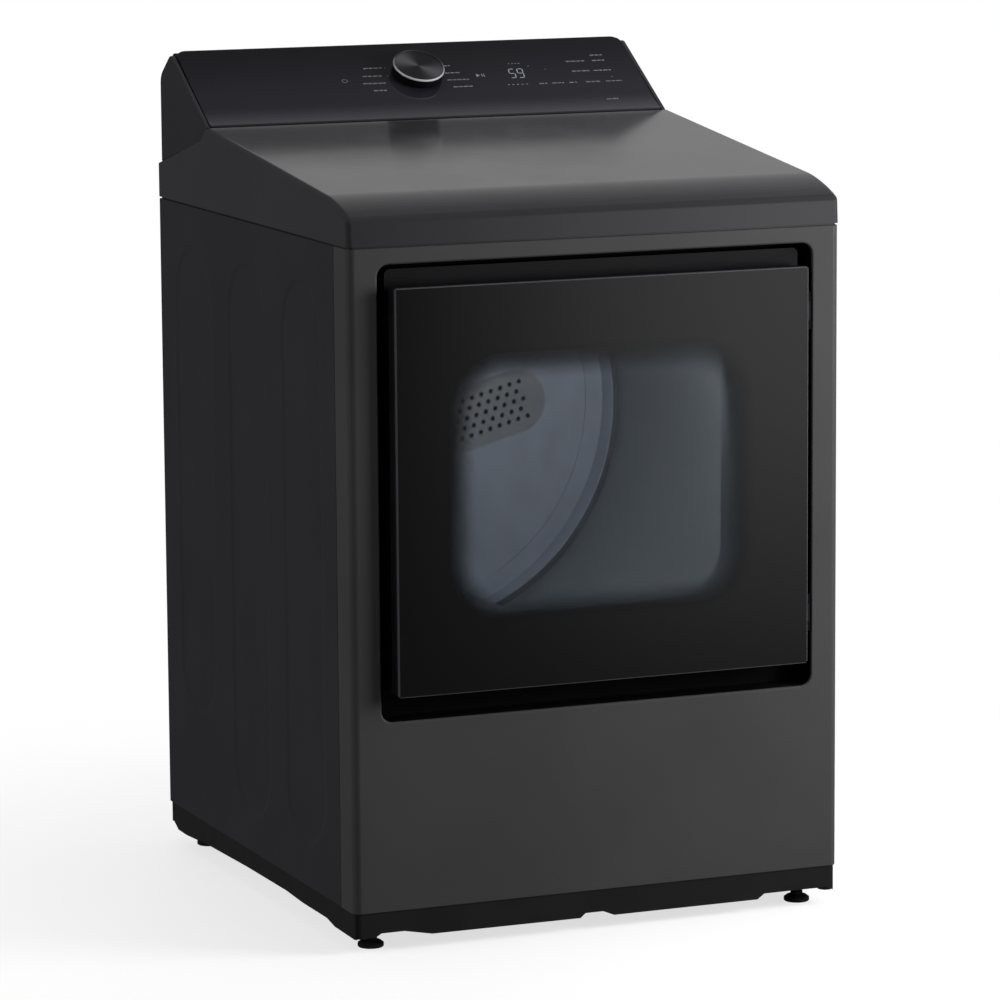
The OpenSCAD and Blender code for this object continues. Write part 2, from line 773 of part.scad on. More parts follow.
module door_carrier() {
  depth = carrier_back_y - carrier_y;
  color("#17171a") difference() {
    union() {
      difference() {
        upright(carrier_y, depth) carrier_outline(0);
        upright(carrier_y + carrier_wall, depth) difference() {
          carrier_outline(carrier_wall);
          mouth_outline(carrier_open_w + 2 * carrier_rim, carrier_open_h + 2 * carrier_rim,
            bowl_r + carrier_rim);
        }
      }
      for (z = swing_zs) translate([0, 0, z - knuckle_h / 2]) {
        translate([swing_x, front_y, 0]) cylinder(r = knuckle_r, h = knuckle_h);
        translate([swing_x - knuckle_r, front_y, 0])
          cube([knuckle_r, carrier_back_y - front_y - 4, knuckle_h]);
        translate([carrier_w / 2 - 2, carrier_y + 2, 0])
          cube([swing_x - carrier_w / 2 + 2, depth - 6, knuckle_h]);
      }
      mirrored() {
        translate([drop_x - lug_w / 2, drop_y, drop_z - lug_r])
          cube([lug_w, carrier_y + 1 - drop_y, 2 * lug_r]);
        translate([drop_x - lug_w / 2, drop_y, drop_z]) rotate([0, 90, 0]) cylinder(r = lug_r, h = lug_w);
      }
      translate([switch_x - 8, carrier_y + 1, switch_z - 6]) cube([20 - carrier_wall, depth - 1, 12]);
      rod_y(catch_peg_r, catch_x, carrier_y + 1, catch_z, recess_y + 12 - carrier_y);
    }
    upright(carrier_y - 1, depth + 2) mouth_outline(carrier_open_w, carrier_open_h, bowl_r);
    for (z = swing_zs) translate([swing_x, front_y, z - knuckle_h])
      cylinder(r = hinge_pin_r + running, h = 2 * knuckle_h);
    mirrored() translate([drop_x - lug_w, drop_y, drop_z]) rotate([0, 90, 0])
      cylinder(r = hinge_pin_r + running, h = 2 * lug_w);
    rod_y(2 * bumper_r, 0, carrier_y - 1, bumper_z, carrier_wall + 2);
  }
}

module carrier_seal() {
  color("#2b2b2d") upright(carrier_back_y, recess_y - gap - carrier_back_y) difference() {
    mouth_outline(mouth_w + 8, mouth_h + 8, bowl_r + 4);
    mouth_outline(mouth_w, mouth_h, bowl_r);
  }
}

module hinge_brackets() {
  h = knuckle_h + 2 * (ear_h + gap);
  color("#3c3c40") for (z = swing_zs) difference() {
    translate([0, 0, z]) {
      translate([recess_w / 2 - 2, front_y - knuckle_r + 2, -h / 2])
        cube([2, recess_depth + knuckle_r - 4, h]);
      for (low = [-h / 2, h / 2 - ear_h]) translate([0, 0, low]) {
        translate([swing_x, front_y, 0]) cylinder(r = knuckle_r, h = ear_h);
        translate([swing_x, front_y - 3, 0]) cube([recess_w / 2 - swing_x - 1, 6, ear_h]);
      }
    }
    translate([swing_x, front_y, z - h]) cylinder(r = hinge_pin_r, h = 2 * h);
  }
}

module hinge_pins() {
  h = knuckle_h + 2 * (ear_h + gap) + 2;
  color("#b8b8bc") for (z = swing_zs) translate([swing_x, front_y, z - h / 2])
    cylinder(r = hinge_pin_r, h = h);
}

module door_catch() {
  color("#e6e6e2") difference() {
    translate([catch_x - 14, recess_y + sheet, catch_z - 20]) cube([28, 22, 40]);
    rod_y(catch_peg_r + 2, catch_x, recess_y, catch_z, 18);
  }
}

module door_switch() {
  color("#d8d8d2") difference() {
    translate([switch_x - 9, recess_y + sheet, switch_z - 11]) cube([18, 20, 22]);
    rod_y(plunger_r + running, switch_x, recess_y, switch_z, 16);
  }
}

module switch_plunger() color("#c04a30") rod_y(plunger_r, switch_x, carrier_back_y + gap, switch_z, 14);

// ---- mouth, bulkheads and drum ----

module mouth_shroud() {
  y0 = recess_y + sheet;
  depth = bulkhead_y - y0;
  color("#3b3d42") difference() {
    union() {
      upright(y0, depth) translate([0, drum_z]) ring_rect(mouth_w, mouth_h, bowl_r, duct_t);
      upright(y0, 2) translate([0, drum_z]) ring_rect(mouth_w, mouth_h, bowl_r, 12);
    }
    translate([-filter_w / 2 - filter_clear, filter_y, drum_z - mouth_h / 2 - duct_t - 1])
      cube([filter_w + 2 * filter_clear, filter_slot, duct_t + 2]);
    translate([lamp_x, lamp_y, drum_z + mouth_h / 2 - 1]) cube([lamp.x, lamp.y, duct_t + 2]);
  }
}

module drum_lamp() {
  z0 = drum_z + mouth_h / 2;
  color("#f4f2e4") {
    translate([lamp_x, lamp_y, z0]) cube([lamp.x, lamp.y, duct_t]);
    translate([lamp_x - lamp_rim, lamp_y - lamp_rim, z0 + duct_t])
      cube([lamp.x + 2 * lamp_rim, lamp.y + 2 * lamp_rim, lamp.z]);
  }
}

module moisture_sensor() {
  color("#c9cbce") for (y = [0, 9]) translate([-60, recess_y + 6 + y, drum_z - mouth_h / 2])
    cube([120, 5, 1.2]);
}

module bulkhead_plate(y0) {
  w = cab_w - 2 * (sheet + press_depth) - 2 * gap;
  translate([-w / 2, y0, panel_bottom + sheet]) cube([w, plate, panel_h - 2 * sheet]);
}

module front_bulkhead() {
  color("#9a9ca0") difference() {
    union() {
      bulkhead_plate(bulkhead_y);
      tube_y(collar_r + plate, plate, 0, bulkhead_y, drum_z, collar_len + plate);
    }
    upright(bulkhead_y - 1, plate + 2) mouth_outline();
    rod_y(inlet_r + duct_t + gap, motor_x, bulkhead_y - 1, motor_z, plate + 2);
    for (x = [-roller_x, roller_x]) rod_y(roller_pin_r, x, bulkhead_y - 1, roller_z, plate + 2);
  }
}

// turns flat shapes with the grille, about the middle of its right end
module grille_place() {
  translate([grille_x + grille_end, grille_z]) rotate(grille_tilt) translate([-grille_end, 0]) children();
}

module grille_outline(t) {
  grille_place() rounded_rect(grille_w + 2 * t, grille_h + 2 * t, grille_h / 2 + t - 0.01);
}

module rear_bulkhead() {
  y0 = rear_bulkhead_y;
  color("#a4a7ab") difference() {
    union() {
      bulkhead_plate(y0);
      tube_y(collar_r + plate, plate, 0, y0 - collar_len, drum_z, collar_len);
      tube_y(collar_r - 22, 5, 0, y0 - 3, drum_z, 3);
    }
    upright(y0 - 4, plate + 6) grille_outline(-8);
    translate([heater_x0, y0 - 1, heater_z0]) cube([heater_x1 - heater_x0, plate + 2, heater_z1 - heater_z0]);
    rod_y(pipe_r + 1, exhaust_x, y0 - 1, exhaust_z, plate + 2);
    for (x = [-roller_x, roller_x]) rod_y(roller_pin_r, x, y0 - 1, roller_z, plate + 2);
  }
}

module inlet_grille() {
  cols = floor((grille_w - 40) / grille_pitch / 2);
  color("#4a4c50") difference() {
    upright(rear_bulkhead_y - 1.5, 1.5) grille_outline(0);
    upright(rear_bulkhead_y - 3, 5) grille_place() for (row = [-2:2], i = [-cols:cols - abs(row) % 2])
      translate([(i + abs(row) % 2 / 2) * grille_pitch, row * grille_row]) circle(3.6);
  }
}

module drum_felts() {
  color("#d9d4c8") {
    for (y = [drum_y + 1, drum_end - 1 - felt_w])
      tube_y(felt_r, felt_r - collar_r - plate, 0, y, drum_z, felt_w);
  }
}

module drum_shell() color("#b9bdc2") tube_y(drum_r, drum_t, 0, drum_y, drum_z, drum_len);

// three hollow ribs with sloping sides, seated on the inside of the drum
module drum_baffles() {
  r = drum_r - drum_t;
  margin = 30;
  wall = 2.5;
  pts = [[r - baffle_h, -14], [r + 5, -45], [r + 5, 45], [r - baffle_h, 14]];
  color("#8f949b") for (a = [baffle_turn:120:359]) intersection() {
    rod_y(r - seat_gap, 0, drum_y + margin, drum_z, drum_len - 2 * margin);
    translate([0, 0, drum_z]) rotate([0, -a, 0]) difference() {
      upright(drum_y + margin, drum_len - 2 * margin) polygon(rounded(pts, [9, 0, 0, 9]));
      for (out = [0, 2 * wall]) translate([out, 0, 0])
        upright(drum_y + margin + wall, drum_len - 2 * (margin + wall))
          polygon(rounded(inset(pts, wall), [9 - wall, 0, 0, 9 - wall]));
    }
  }
}

module roller(x, y0) {
  color("#5e6064") difference() {
    union() {
      rod_y(roller_r, x, y0, roller_z, roller_w);
      rod_y(roller_r - 4, x, y0 - 1, roller_z, roller_w + 2);
    }
    rod_y(roller_pin_r + running, x, y0 - 2, roller_z, roller_w + 4);
  }
}

module roller_front_left() roller(-roller_x, roller_front_y);

module roller_front_right() roller(roller_x, roller_front_y);

module roller_rear_left() roller(-roller_x, roller_rear_y);

module roller_rear_right() roller(roller_x, roller_rear_y);

module roller_pins() {
  head = 3;
  front_end = roller_front_y + roller_w + 1 + gap;
  rear_end = roller_rear_y - 1 - gap;
  color("#b8b8bc") for (x = [-roller_x, roller_x]) {
    rod_y(roller_pin_r, x, bulkhead_y, roller_z, front_end + head - bulkhead_y);
    rod_y(roller_pin_r + 3, x, front_end, roller_z, head);
    rod_y(roller_pin_r + 3, x, bulkhead_y + plate, roller_z, roller_front_y - 1 - gap - bulkhead_y - plate);
    rod_y(roller_pin_r, x, rear_end - head, roller_z, rear_bulkhead_y + plate - rear_end + head);
    rod_y(roller_pin_r + 3, x, rear_end - head, roller_z, head);
    rod_y(roller_pin_r + 3, x, roller_rear_y + roller_w + 1 + gap, roller_z,
      rear_bulkhead_y - roller_rear_y - roller_w - 1 - gap);
  }
}

// ---- air path ----

module lint_filter() {
  w = filter_w;
  z1 = drum_z - mouth_h / 2;
  z0 = z1 - filter_h;
  y1 = filter_y + 10;
  color("#c8ccd0") {
    difference() {
      translate([-w / 2, y1, z0]) cube([w, 15, filter_h - 3]);
      for (x = [-w / 2 + 6, 3]) translate([x, y1 - 1, z0 + 8]) cube([w / 2 - 9, 17, filter_h - 22]);
    }
    for (x = [-w / 2 + 6, 3]) translate([x, y1 + 7, z0 + 8]) cube([w / 2 - 9, 1, filter_h - 22]);
    difference() {
      translate([-w / 2, filter_y + 0.5, z1 - 4]) cube([w, filter_slot - 1, 4]);
      translate([-40, filter_y + 27, z1 - 2]) cube([80, 5, 3]);
    }
  }
}

module filter_housing() {
  ledge = 9;
  w = filter_w + 2 * filter_clear;
  z1 = drum_z - mouth_h / 2 - duct_t;
  outer = [w + 2 * duct_t, filter_slot + 2 * duct_t, z1 - filter_floor + duct_t];
  color("#55585d") difference() {
    translate([-outer.x / 2, filter_y - duct_t, filter_floor - duct_t]) cube(outer);
    translate([-w / 2, filter_y, filter_floor]) cube([w, filter_slot, outer.z]);
    rod_y(inlet_r, motor_x, filter_y + 5, motor_z, filter_slot + 10);
  }
  color("#55585d") mirrored() translate([w / 2 - ledge, filter_y, z1 + duct_t - filter_h - gap - 4])
    cube([ledge, filter_slot, 4]);
}

module blower_housing() {
  back = blower_y + blower_depth;
  neck_y = filter_y + filter_slot + duct_t;
  out_h = 64;
  z0 = motor_z - scroll_r;
  x0 = exhaust_x + exhaust_r + 2;
  color("#6a6d72") difference() {
    union() {
      rod_y(scroll_r, motor_x, blower_y, motor_z, blower_depth);
      translate([x0, blower_y, z0]) cube([motor_x - x0, blower_depth, out_h + 2 * duct_t]);
      tube_y(inlet_r + duct_t, duct_t, motor_x, neck_y, motor_z, blower_y - neck_y + 1);
    }
    rod_y(scroll_r - duct_t, motor_x, blower_y + duct_t, motor_z, blower_depth - 2 * duct_t);
    translate([x0 - 1, blower_y + duct_t, z0 + duct_t])
      cube([motor_x - x0 + 1, blower_depth - 2 * duct_t, out_h]);
    rod_y(inlet_r, motor_x, neck_y - 1, motor_z, blower_y - neck_y + duct_t + 2);
    rod_y(shaft_r + 3, motor_x, back - duct_t - 1, motor_z, duct_t + 2);
  }
}

module exhaust_duct() {
  side = exhaust_r + 2;
  back = blower_y + blower_depth;
  color("#c3c6c9") difference() {
    union() {
      translate([exhaust_x - side, blower_y, exhaust_z - side]) cube([2 * side, blower_depth, 2 * side]);
      rod_y(pipe_r, exhaust_x, back - 1, exhaust_z, rear_y - collar_grip - back + 1);
      rod_y(exhaust_r, exhaust_x, back, exhaust_z, rear_y - back);
    }
    translate([exhaust_x - side + pipe_t, blower_y + pipe_t, exhaust_z - side + pipe_t])
      cube([2 * side - 2 * pipe_t, blower_depth - 2 * pipe_t, 2 * side - 2 * pipe_t]);
    rod_y(pipe_r - pipe_t, exhaust_x, back - pipe_t - 1, exhaust_z, rear_y - collar_grip - back + 1);
    rod_y(exhaust_r - pipe_t, exhaust_x, back, exhaust_z, rear_y - back + 1);
    translate([exhaust_x + side - 3, blower_y + duct_t, motor_z - scroll_r + duct_t])
      cube([5, blower_depth - 2 * duct_t, 64]);
  }
}

module heater_housing() {
  w = heater_x1 - heater_x0;
  h = heater_z1 - heater_z0;
  color("#aeb1b5") {
    difference() {
      translate([heater_x0, heater_y, heater_z0]) cube([w, heater_len, h]);
      translate([heater_x0 + plate, heater_y - 1, heater_z0 + plate])
        cube([w - 2 * plate, heater_len + 2, h - 2 * plate]);
    }
    for (y = [heater_y + 30, heater_y + heater_len - 60]) translate([heater_x0 + 10, y, panel_bottom])
      cube([w - 20, 20, heater_z0 - panel_bottom]);
  }
}

// sweep of a small ring along points that turn about the axis, for coils
module coil(r, wire, length, turns, per_turn, sides = 6) {
  steps = turns * per_turn;
  function ring(i) = let (a = 360 * i / per_turn, z = length * i / steps)
    [for (k = [0:sides - 1]) let (b = 360 * k / sides)
      [(r + wire * cos(b)) * cos(a), (r + wire * cos(b)) * sin(a), z + wire * sin(b)]];
  points = [for (i = [0:steps]) each ring(i)];
  faces = concat([[for (k = [sides - 1:-1:0]) k]],
    [for (i = [0:steps - 1], k = [0:sides - 1]) let (n = (k + 1) % sides, s = i * sides)
      [s + n, s + sides + n, s + sides + k, s + k]],
    [[for (k = [0:sides - 1]) steps * sides + k]]);
  polyhedron(points, faces);
}

module heater_coil() {
  x = (heater_x0 + heater_x1) / 2;
  z = (heater_z0 + heater_z1) / 2;
  w = heater_x1 - heater_x0 - 2 * plate;
  wire = 1.8;
  end = 12;
  margin = 35;
  run = heater_len - 2 * margin;
  strip_w = 2 * (coil_r - wire - gap);
  color("#77706a") along_y(x, heater_y + margin, z) coil(coil_r, wire, run, 11, 16);
  color("#d8cfb8") {
    translate([x - strip_w / 2, heater_y + margin - end, z - 1]) cube([strip_w, run + 2 * end, 2]);
    for (y = [heater_y + margin - end - 5, heater_y + margin + run + 5])
      translate([x - w / 2, y, z - 1]) cube([w, end, 2]);
  }
}

// outline of the duct from the heater up to the grille, moved inwards by t
function duct_outline(t) = let (rim = 6 - t, x0 = heater_x0 - rim, x1 = heater_x1 + rim)
  let (left = grille_x - grille_w / 2 - rim, half_h = grille_h / 2 + rim)
  let (low = grille_z - half_h - 2 * grille_end * sin(grille_tilt), top = grille_z + half_h)
  [[x0, heater_z0 - rim], [x1, heater_z0 - rim], [x1, top], [left, top], [left, low], [x0, low]];

module rear_duct() {
  y0 = rear_bulkhead_y + plate;
  color("#aeb1b5") difference() {
    upright(y0, rear_duct_depth) polygon(duct_outline(0));
    upright(y0 - 1, rear_duct_depth - sheet + 1) polygon(duct_outline(sheet));
  }
}

// ---- motor, blower wheel, belt and idler ----

module motor() {
  color("#6f7378") difference() {
    union() {
      rod_y(motor_r, motor_x, motor_y + 12, motor_z, motor_len - 24);
      rod_y(motor_r - 10, motor_x, motor_y + 4, motor_z, motor_len - 8);
      rod_y(18, motor_x, motor_y, motor_z, motor_len);
    }
    rod_y(shaft_r + running, motor_x, motor_y - 1, motor_z, motor_len + 2);
  }
}

module motor_mount() {
  post_w = mount_w - 24;
  post_t = 4;
  y0 = motor_y + 10;
  y1 = belt_y + 30;
  color("#8b8e93") difference() {
    union() {
      translate([motor_x - mount_w / 2, y0, panel_bottom]) cube([mount_w, y1 - y0, 2]);
      for (y = [motor_y + 16, motor_y + motor_len - 20]) translate([motor_x - post_w / 2, y, panel_bottom])
        cube([post_w, post_t, motor_z - motor_r / 2 - panel_bottom]);
      translate([motor_x - post_w / 2, y1 - post_t, panel_bottom])
        cube([post_w / 2 + post_t, post_t, arm_pivot.y + 14 - panel_bottom]);
      rod_y(idler_pin_r, arm_pivot.x, belt_y + 9, arm_pivot.y, 18);
      translate([hook_c.x - 5, belt_y + 12, panel_bottom]) cube([10, 6, hook_c.y - panel_bottom]);
    }
    rod_y(motor_r + seat_gap, motor_x, motor_y, motor_z, motor_len);
    mount_screw_places() cylinder(r = back_screw_r + running, h = 20, center = true);
  }
}

module mount_screw_places() {
  side = mount_w / 2 - 5.5;
  for (x = [-side, side], y = [motor_y + 22, belt_y + 6]) translate([motor_x + x, y, panel_bottom])
    children();
}

module motor_shaft() {
  y0 = wheel_y;
  y1 = belt_y + belt_w / 2 + 7;
  color("#b8b8bc") {
    rod_y(shaft_r, motor_x, y0, motor_z, y1 - y0);
    rod_y(pulley_r, motor_x, belt_y - belt_w / 2 - 2, motor_z, belt_w + 4);
    for (y = [belt_y - belt_w / 2 - 4, belt_y + belt_w / 2 + 1])
      rod_y(pulley_r + collar_lip, motor_x, y, motor_z, 3);
  }
}

module blower_wheel() {
  rim_w = blade_len + 4;
  color("#3f4246") {
    difference() {
      union() {
        rod_y(wheel_r, motor_x, wheel_y + wheel_len - 3, motor_z, 3);
        rod_y(hub_r, motor_x, wheel_y + wheel_len / 2, motor_z, wheel_len / 2);
      }
      rod_y(shaft_r, motor_x, wheel_y, motor_z, wheel_len + 1);
    }
    tube_y(wheel_r, rim_w, motor_x, wheel_y, motor_z, 2.5);
    along_y(motor_x, wheel_y + 1, motor_z) for (i = [0:wheel_blades - 1]) rotate(i * 360 / wheel_blades)
      translate([wheel_r - rim_w + 2, -1, 0]) cube([blade_len, 2, wheel_len - 3]);
  }
}

// straight strip of belt from p to q, on the left of its inner line
module belt_strip(p, q) {
  d = q - p;
  lap = 0.5;
  translate(p) rotate(atan2(d.y, d.x)) translate([-lap, -belt_t]) square([norm(d) + 2 * lap, belt_t]);
}

// part of a ring from angle a0 to a1, anticlockwise
module belt_arc(c, r, a0, a1) {
  reach = 3 * r;
  translate(c) intersection() {
    difference() {
      circle(r + belt_t, $fn = 180);
      circle(r, $fn = 180);
    }
    polygon(concat([[0, 0]], [for (i = [0:8]) polar([0, 0], reach, a0 + (a1 - a0) * i / 8)]));
  }
}

// direction of the tangent points for an outer tangent on the left of the way from c to d
function outer_tangent(c, d, rc, rd) = let (v = d - c)
  atan2(v.y, v.x) + acos((rc - rd) / norm(v));
function cross_tangent(c, d, rc, rd) = let (v = d - c)
  atan2(v.y, v.x) - acos((rc + rd) / norm(v));

module drive_belt() {
  right = outer_tangent(drum_c, pulley_c, belt_drum_r, belt_pulley_r);
  left = cross_tangent(drum_c, idler_c, belt_drum_r, belt_idler_r);
  turn = cross_tangent(pulley_c, idler_c, belt_pulley_r, belt_idler_r) + 2 *
    acos((belt_pulley_r + belt_idler_r) / norm(idler_c - pulley_c));
  color("#111111") upright(belt_y - belt_w / 2, belt_w) {
    belt_arc(drum_c, belt_drum_r, right, left + 360);
    belt_arc(pulley_c, belt_pulley_r, turn - 360, right);
    belt_arc(idler_c, belt_idler_r - belt_t, turn - 180, left + 180);
    belt_strip(polar(pulley_c, belt_pulley_r, right), polar(drum_c, belt_drum_r, right));
    belt_strip(polar(drum_c, belt_drum_r, left), polar(idler_c, belt_idler_r, left + 180));
    belt_strip(polar(idler_c, belt_idler_r, turn + 180), polar(pulley_c, belt_pulley_r, turn));
  }
}

module idler_arm() {
  y0 = belt_y + 13;
  v = arm_pivot - idler_c;
  color("#9b9ea2") difference() {
    union() {
      for (c = [idler_c, arm_pivot]) rod_y(2 * idler_pin_r, c.x, y0, c.y, arm_t);
      rod_y(5, arm_tip.x, y0, arm_tip.y, arm_t);
      upright(y0, arm_t) translate(idler_c) rotate(atan2(v.y, v.x)) translate([0, -5])
        square([norm(v) + arm_reach, 10]);
      rod_y(idler_pin_r, idler_c.x, belt_y - belt_w / 2 - 4, idler_c.y, y0 + arm_t - belt_y + belt_w / 2 + 4);
    }
    rod_y(idler_pin_r + running, arm_pivot.x, y0 - 1, arm_pivot.y, arm_t + 2);
  }
}

module idler_pulley() {
  y0 = belt_y - belt_w / 2 - 3;
  color("#2f3236") difference() {
    union() {
      rod_y(idler_r, idler_c.x, y0, idler_c.y, belt_w + 6);
      for (y = [y0, belt_y + belt_w / 2 + 1.5]) rod_y(idler_r + idler_rim, idler_c.x, y, idler_c.y, 1.5);
    }
    rod_y(idler_pin_r + running, idler_c.x, y0 - 1, idler_c.y, belt_w + 8);
  }
}

module idler_spring() {
  wire = 0.8;
  v = arm_tip - hook_c;
  color("#c9cbce") translate([hook_c.x, belt_y + 15, hook_c.y]) rotate([0, 90 - atan2(v.y, v.x), 0])
    translate([0, 0, wire + gap]) coil(4, wire, norm(v) - 5 - 2 * (wire + gap), 14, 12);
}

// ---- wiring inlet and fasteners ----

module terminal_block() {
  color("#e9e6da") {
    translate([cord_x - terminal.x / 2, back_y - sheet - terminal.y, terminal_z]) cube(terminal);
    for (i = [-1:1])
      rod_y(4, cord_x + i * terminal.x / 3, back_y - sheet - terminal.y - 2, terminal_z + 14, 2.5);
  }
}

module fasteners() {
  color("#b8b8bc") {
    mirrored() back_screw_places() {
      rod_y(5, 0, back_y, 0, 2.4);
      rod_y(back_screw_r, 0, back_y - 2 * sheet, 0, 2 * sheet + 1);
    }
    mount_screw_places() {
      translate([0, 0, 2]) cylinder(r = 5, h = 2.4);
      cylinder(r = back_screw_r, h = 3);
    }
    foot_places() translate([0, 0, panel_bottom - 13]) difference() {
      cylinder(r = 9.5, h = 5, $fn = 6);
      translate([0, 0, -1]) cylinder(r = foot_screw_r + running, h = 8);
    }
  }
}

side_panel_left();
side_panel_right();
front_panel();
rear_panel();
base_pan();
top_cover();
console_housing();
console_caps();
console_glass();
control_board();
front_bulkhead();
mouth_shroud();
drum_felts();
rear_bulkhead();
inlet_grille();
drum_lamp();
moisture_sensor();
filter_housing();
blower_housing();
exhaust_duct();
heater_housing();
heater_coil();
rear_duct();
motor();
motor_mount();
roller_pins();
drive_belt();
idler_spring();
terminal_block();
hinge_brackets();
hinge_pins();
door_catch();
door_switch();
fasteners();
foot_front_left();
foot_front_right();
foot_rear_left();
foot_rear_right();
knob_body();
knob_cap();
door_carrier();
carrier_seal();
door_frame();
door_liner();
door_glass();
door_window();
door_seal();
door_hinge_pins();
drum_shell();
drum_baffles();
motor_shaft();
blower_wheel();
lint_filter();
roller_front_left();
roller_front_right();
roller_rear_left();
roller_rear_right();
idler_arm();
idler_pulley();
switch_plunger();
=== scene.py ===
# %% [markdown]
# # A clothes dryer, dressed for the studio
# A dryer is a folded steel box. A drum hangs in it on felt and rollers, a glass door closes its
# mouth, and a sloping cover carries the controls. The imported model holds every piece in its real
# place, so the frame is loaded first and each new piece is fitted to the boxes of the old ones.

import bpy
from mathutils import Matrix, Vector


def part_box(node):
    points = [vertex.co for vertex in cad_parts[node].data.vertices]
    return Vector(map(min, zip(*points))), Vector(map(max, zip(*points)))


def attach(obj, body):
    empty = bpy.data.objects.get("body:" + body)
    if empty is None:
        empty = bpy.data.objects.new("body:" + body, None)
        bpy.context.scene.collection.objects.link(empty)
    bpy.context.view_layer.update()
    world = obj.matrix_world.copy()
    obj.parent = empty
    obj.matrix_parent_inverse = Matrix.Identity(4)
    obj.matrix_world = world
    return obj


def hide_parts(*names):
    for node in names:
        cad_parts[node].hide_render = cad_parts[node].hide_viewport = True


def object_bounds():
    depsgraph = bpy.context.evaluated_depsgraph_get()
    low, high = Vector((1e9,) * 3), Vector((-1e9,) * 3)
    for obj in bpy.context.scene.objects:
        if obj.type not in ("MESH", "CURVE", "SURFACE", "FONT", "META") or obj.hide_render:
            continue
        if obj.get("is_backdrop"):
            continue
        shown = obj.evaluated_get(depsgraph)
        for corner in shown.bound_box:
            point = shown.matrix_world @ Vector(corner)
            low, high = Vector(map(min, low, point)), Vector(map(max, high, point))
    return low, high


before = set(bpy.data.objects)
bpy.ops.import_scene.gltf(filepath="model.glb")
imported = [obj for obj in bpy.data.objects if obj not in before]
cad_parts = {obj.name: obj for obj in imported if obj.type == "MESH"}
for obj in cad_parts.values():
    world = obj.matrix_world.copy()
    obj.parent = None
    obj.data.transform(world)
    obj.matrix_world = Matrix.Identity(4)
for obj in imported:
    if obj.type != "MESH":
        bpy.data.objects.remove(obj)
cad_low, cad_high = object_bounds()
print("size in mm", [round(1000 * side, 1) for side in cad_high - cad_low])

# %% Tools for this lesson
import math

import bmesh
import bpy
from mathutils import Matrix, Vector

MM = 0.001
CLOSE = 0.02 * MM
scene = bpy.context.scene

# %% [markdown]
# ## The camera
# The machine is seen from its left front corner and from a little above the cover. A long lens far
# away keeps the upright edges nearly parallel, as in a catalogue. The camera is turned in three
# steps: it is rolled by less than half a degree, raised from looking down, and swung to the right.

# %% Set up the camera
lens = bpy.data.cameras.new("catalogue_camera")
lens.lens, lens.sensor_width = 177.6, 36.0
lens.clip_start, lens.clip_end = 0.1, 100.0
camera = bpy.data.objects.new("catalogue_camera", lens)
scene.collection.objects.link(camera)
camera_place = (-2.510, -6.111, 1.580)
swing, tip, roll = math.radians(22.4), math.radians(90 - 9.14), math.radians(-0.4)
camera.matrix_world = (Matrix.Translation(camera_place) @ Matrix.Rotation(-swing, 4, "Z")
                       @ Matrix.Rotation(tip, 4, "X") @ Matrix.Rotation(roll, 4, "Z"))
scene.camera = camera
print("camera", [round(value, 3) for value in camera.matrix_world.translation])

# %% [markdown]
# ## Writing finishes as sums
# A finish is a small net of nodes. Written node by node it is hard to read, so `Shade` stands for
# one value in the net and its plus, minus and times signs make the maths nodes. `Recipe` holds one
# material, and its single method `node` makes any node, with its settings and what feeds it.

# %% A value inside a finish
class Shade:
    """One number, colour or vector in a recipe. Its signs build the maths nodes."""

    def __init__(self, recipe, socket):
        self.recipe, self.socket = recipe, socket

    def maths(self, operation, *values):
        return self.recipe.node("Math", {"operation": operation}, dict(enumerate(values)))

    def __add__(self, other):
        return self.maths("ADD", self, other)

    def __sub__(self, other):
        return self.maths("SUBTRACT", self, other)

    def __rsub__(self, other):
        return self.maths("SUBTRACT", other, self)

    def __mul__(self, other):
        return self.maths("MULTIPLY", self, other)

    def __truediv__(self, other):
        return self.maths("DIVIDE", self, other)

    def __pow__(self, other):
        return self.maths("POWER", self, other)

    def __abs__(self):
        return self.maths("ABSOLUTE", self)

    def least(self, other):
        return self.maths("MINIMUM", self, other)

    def most(self, other):
        return self.maths("MAXIMUM", self, other)

    def part(self, axis):
        split = self.recipe.node("SeparateXYZ", {}, {0: self})
        return Shade(self.recipe, split.socket.node.outputs["XYZ".index(axis)])

    def fade(self, start, end, low=0.0, high=1.0):
        """Turns softly from low to high while this value goes from start to end."""
        return self.recipe.node("MapRange", {"interpolation_type": "SMOOTHSTEP"}, {
            "Value": self, "From Min": start, "From Max": end, "To Min": low, "To Max": high})


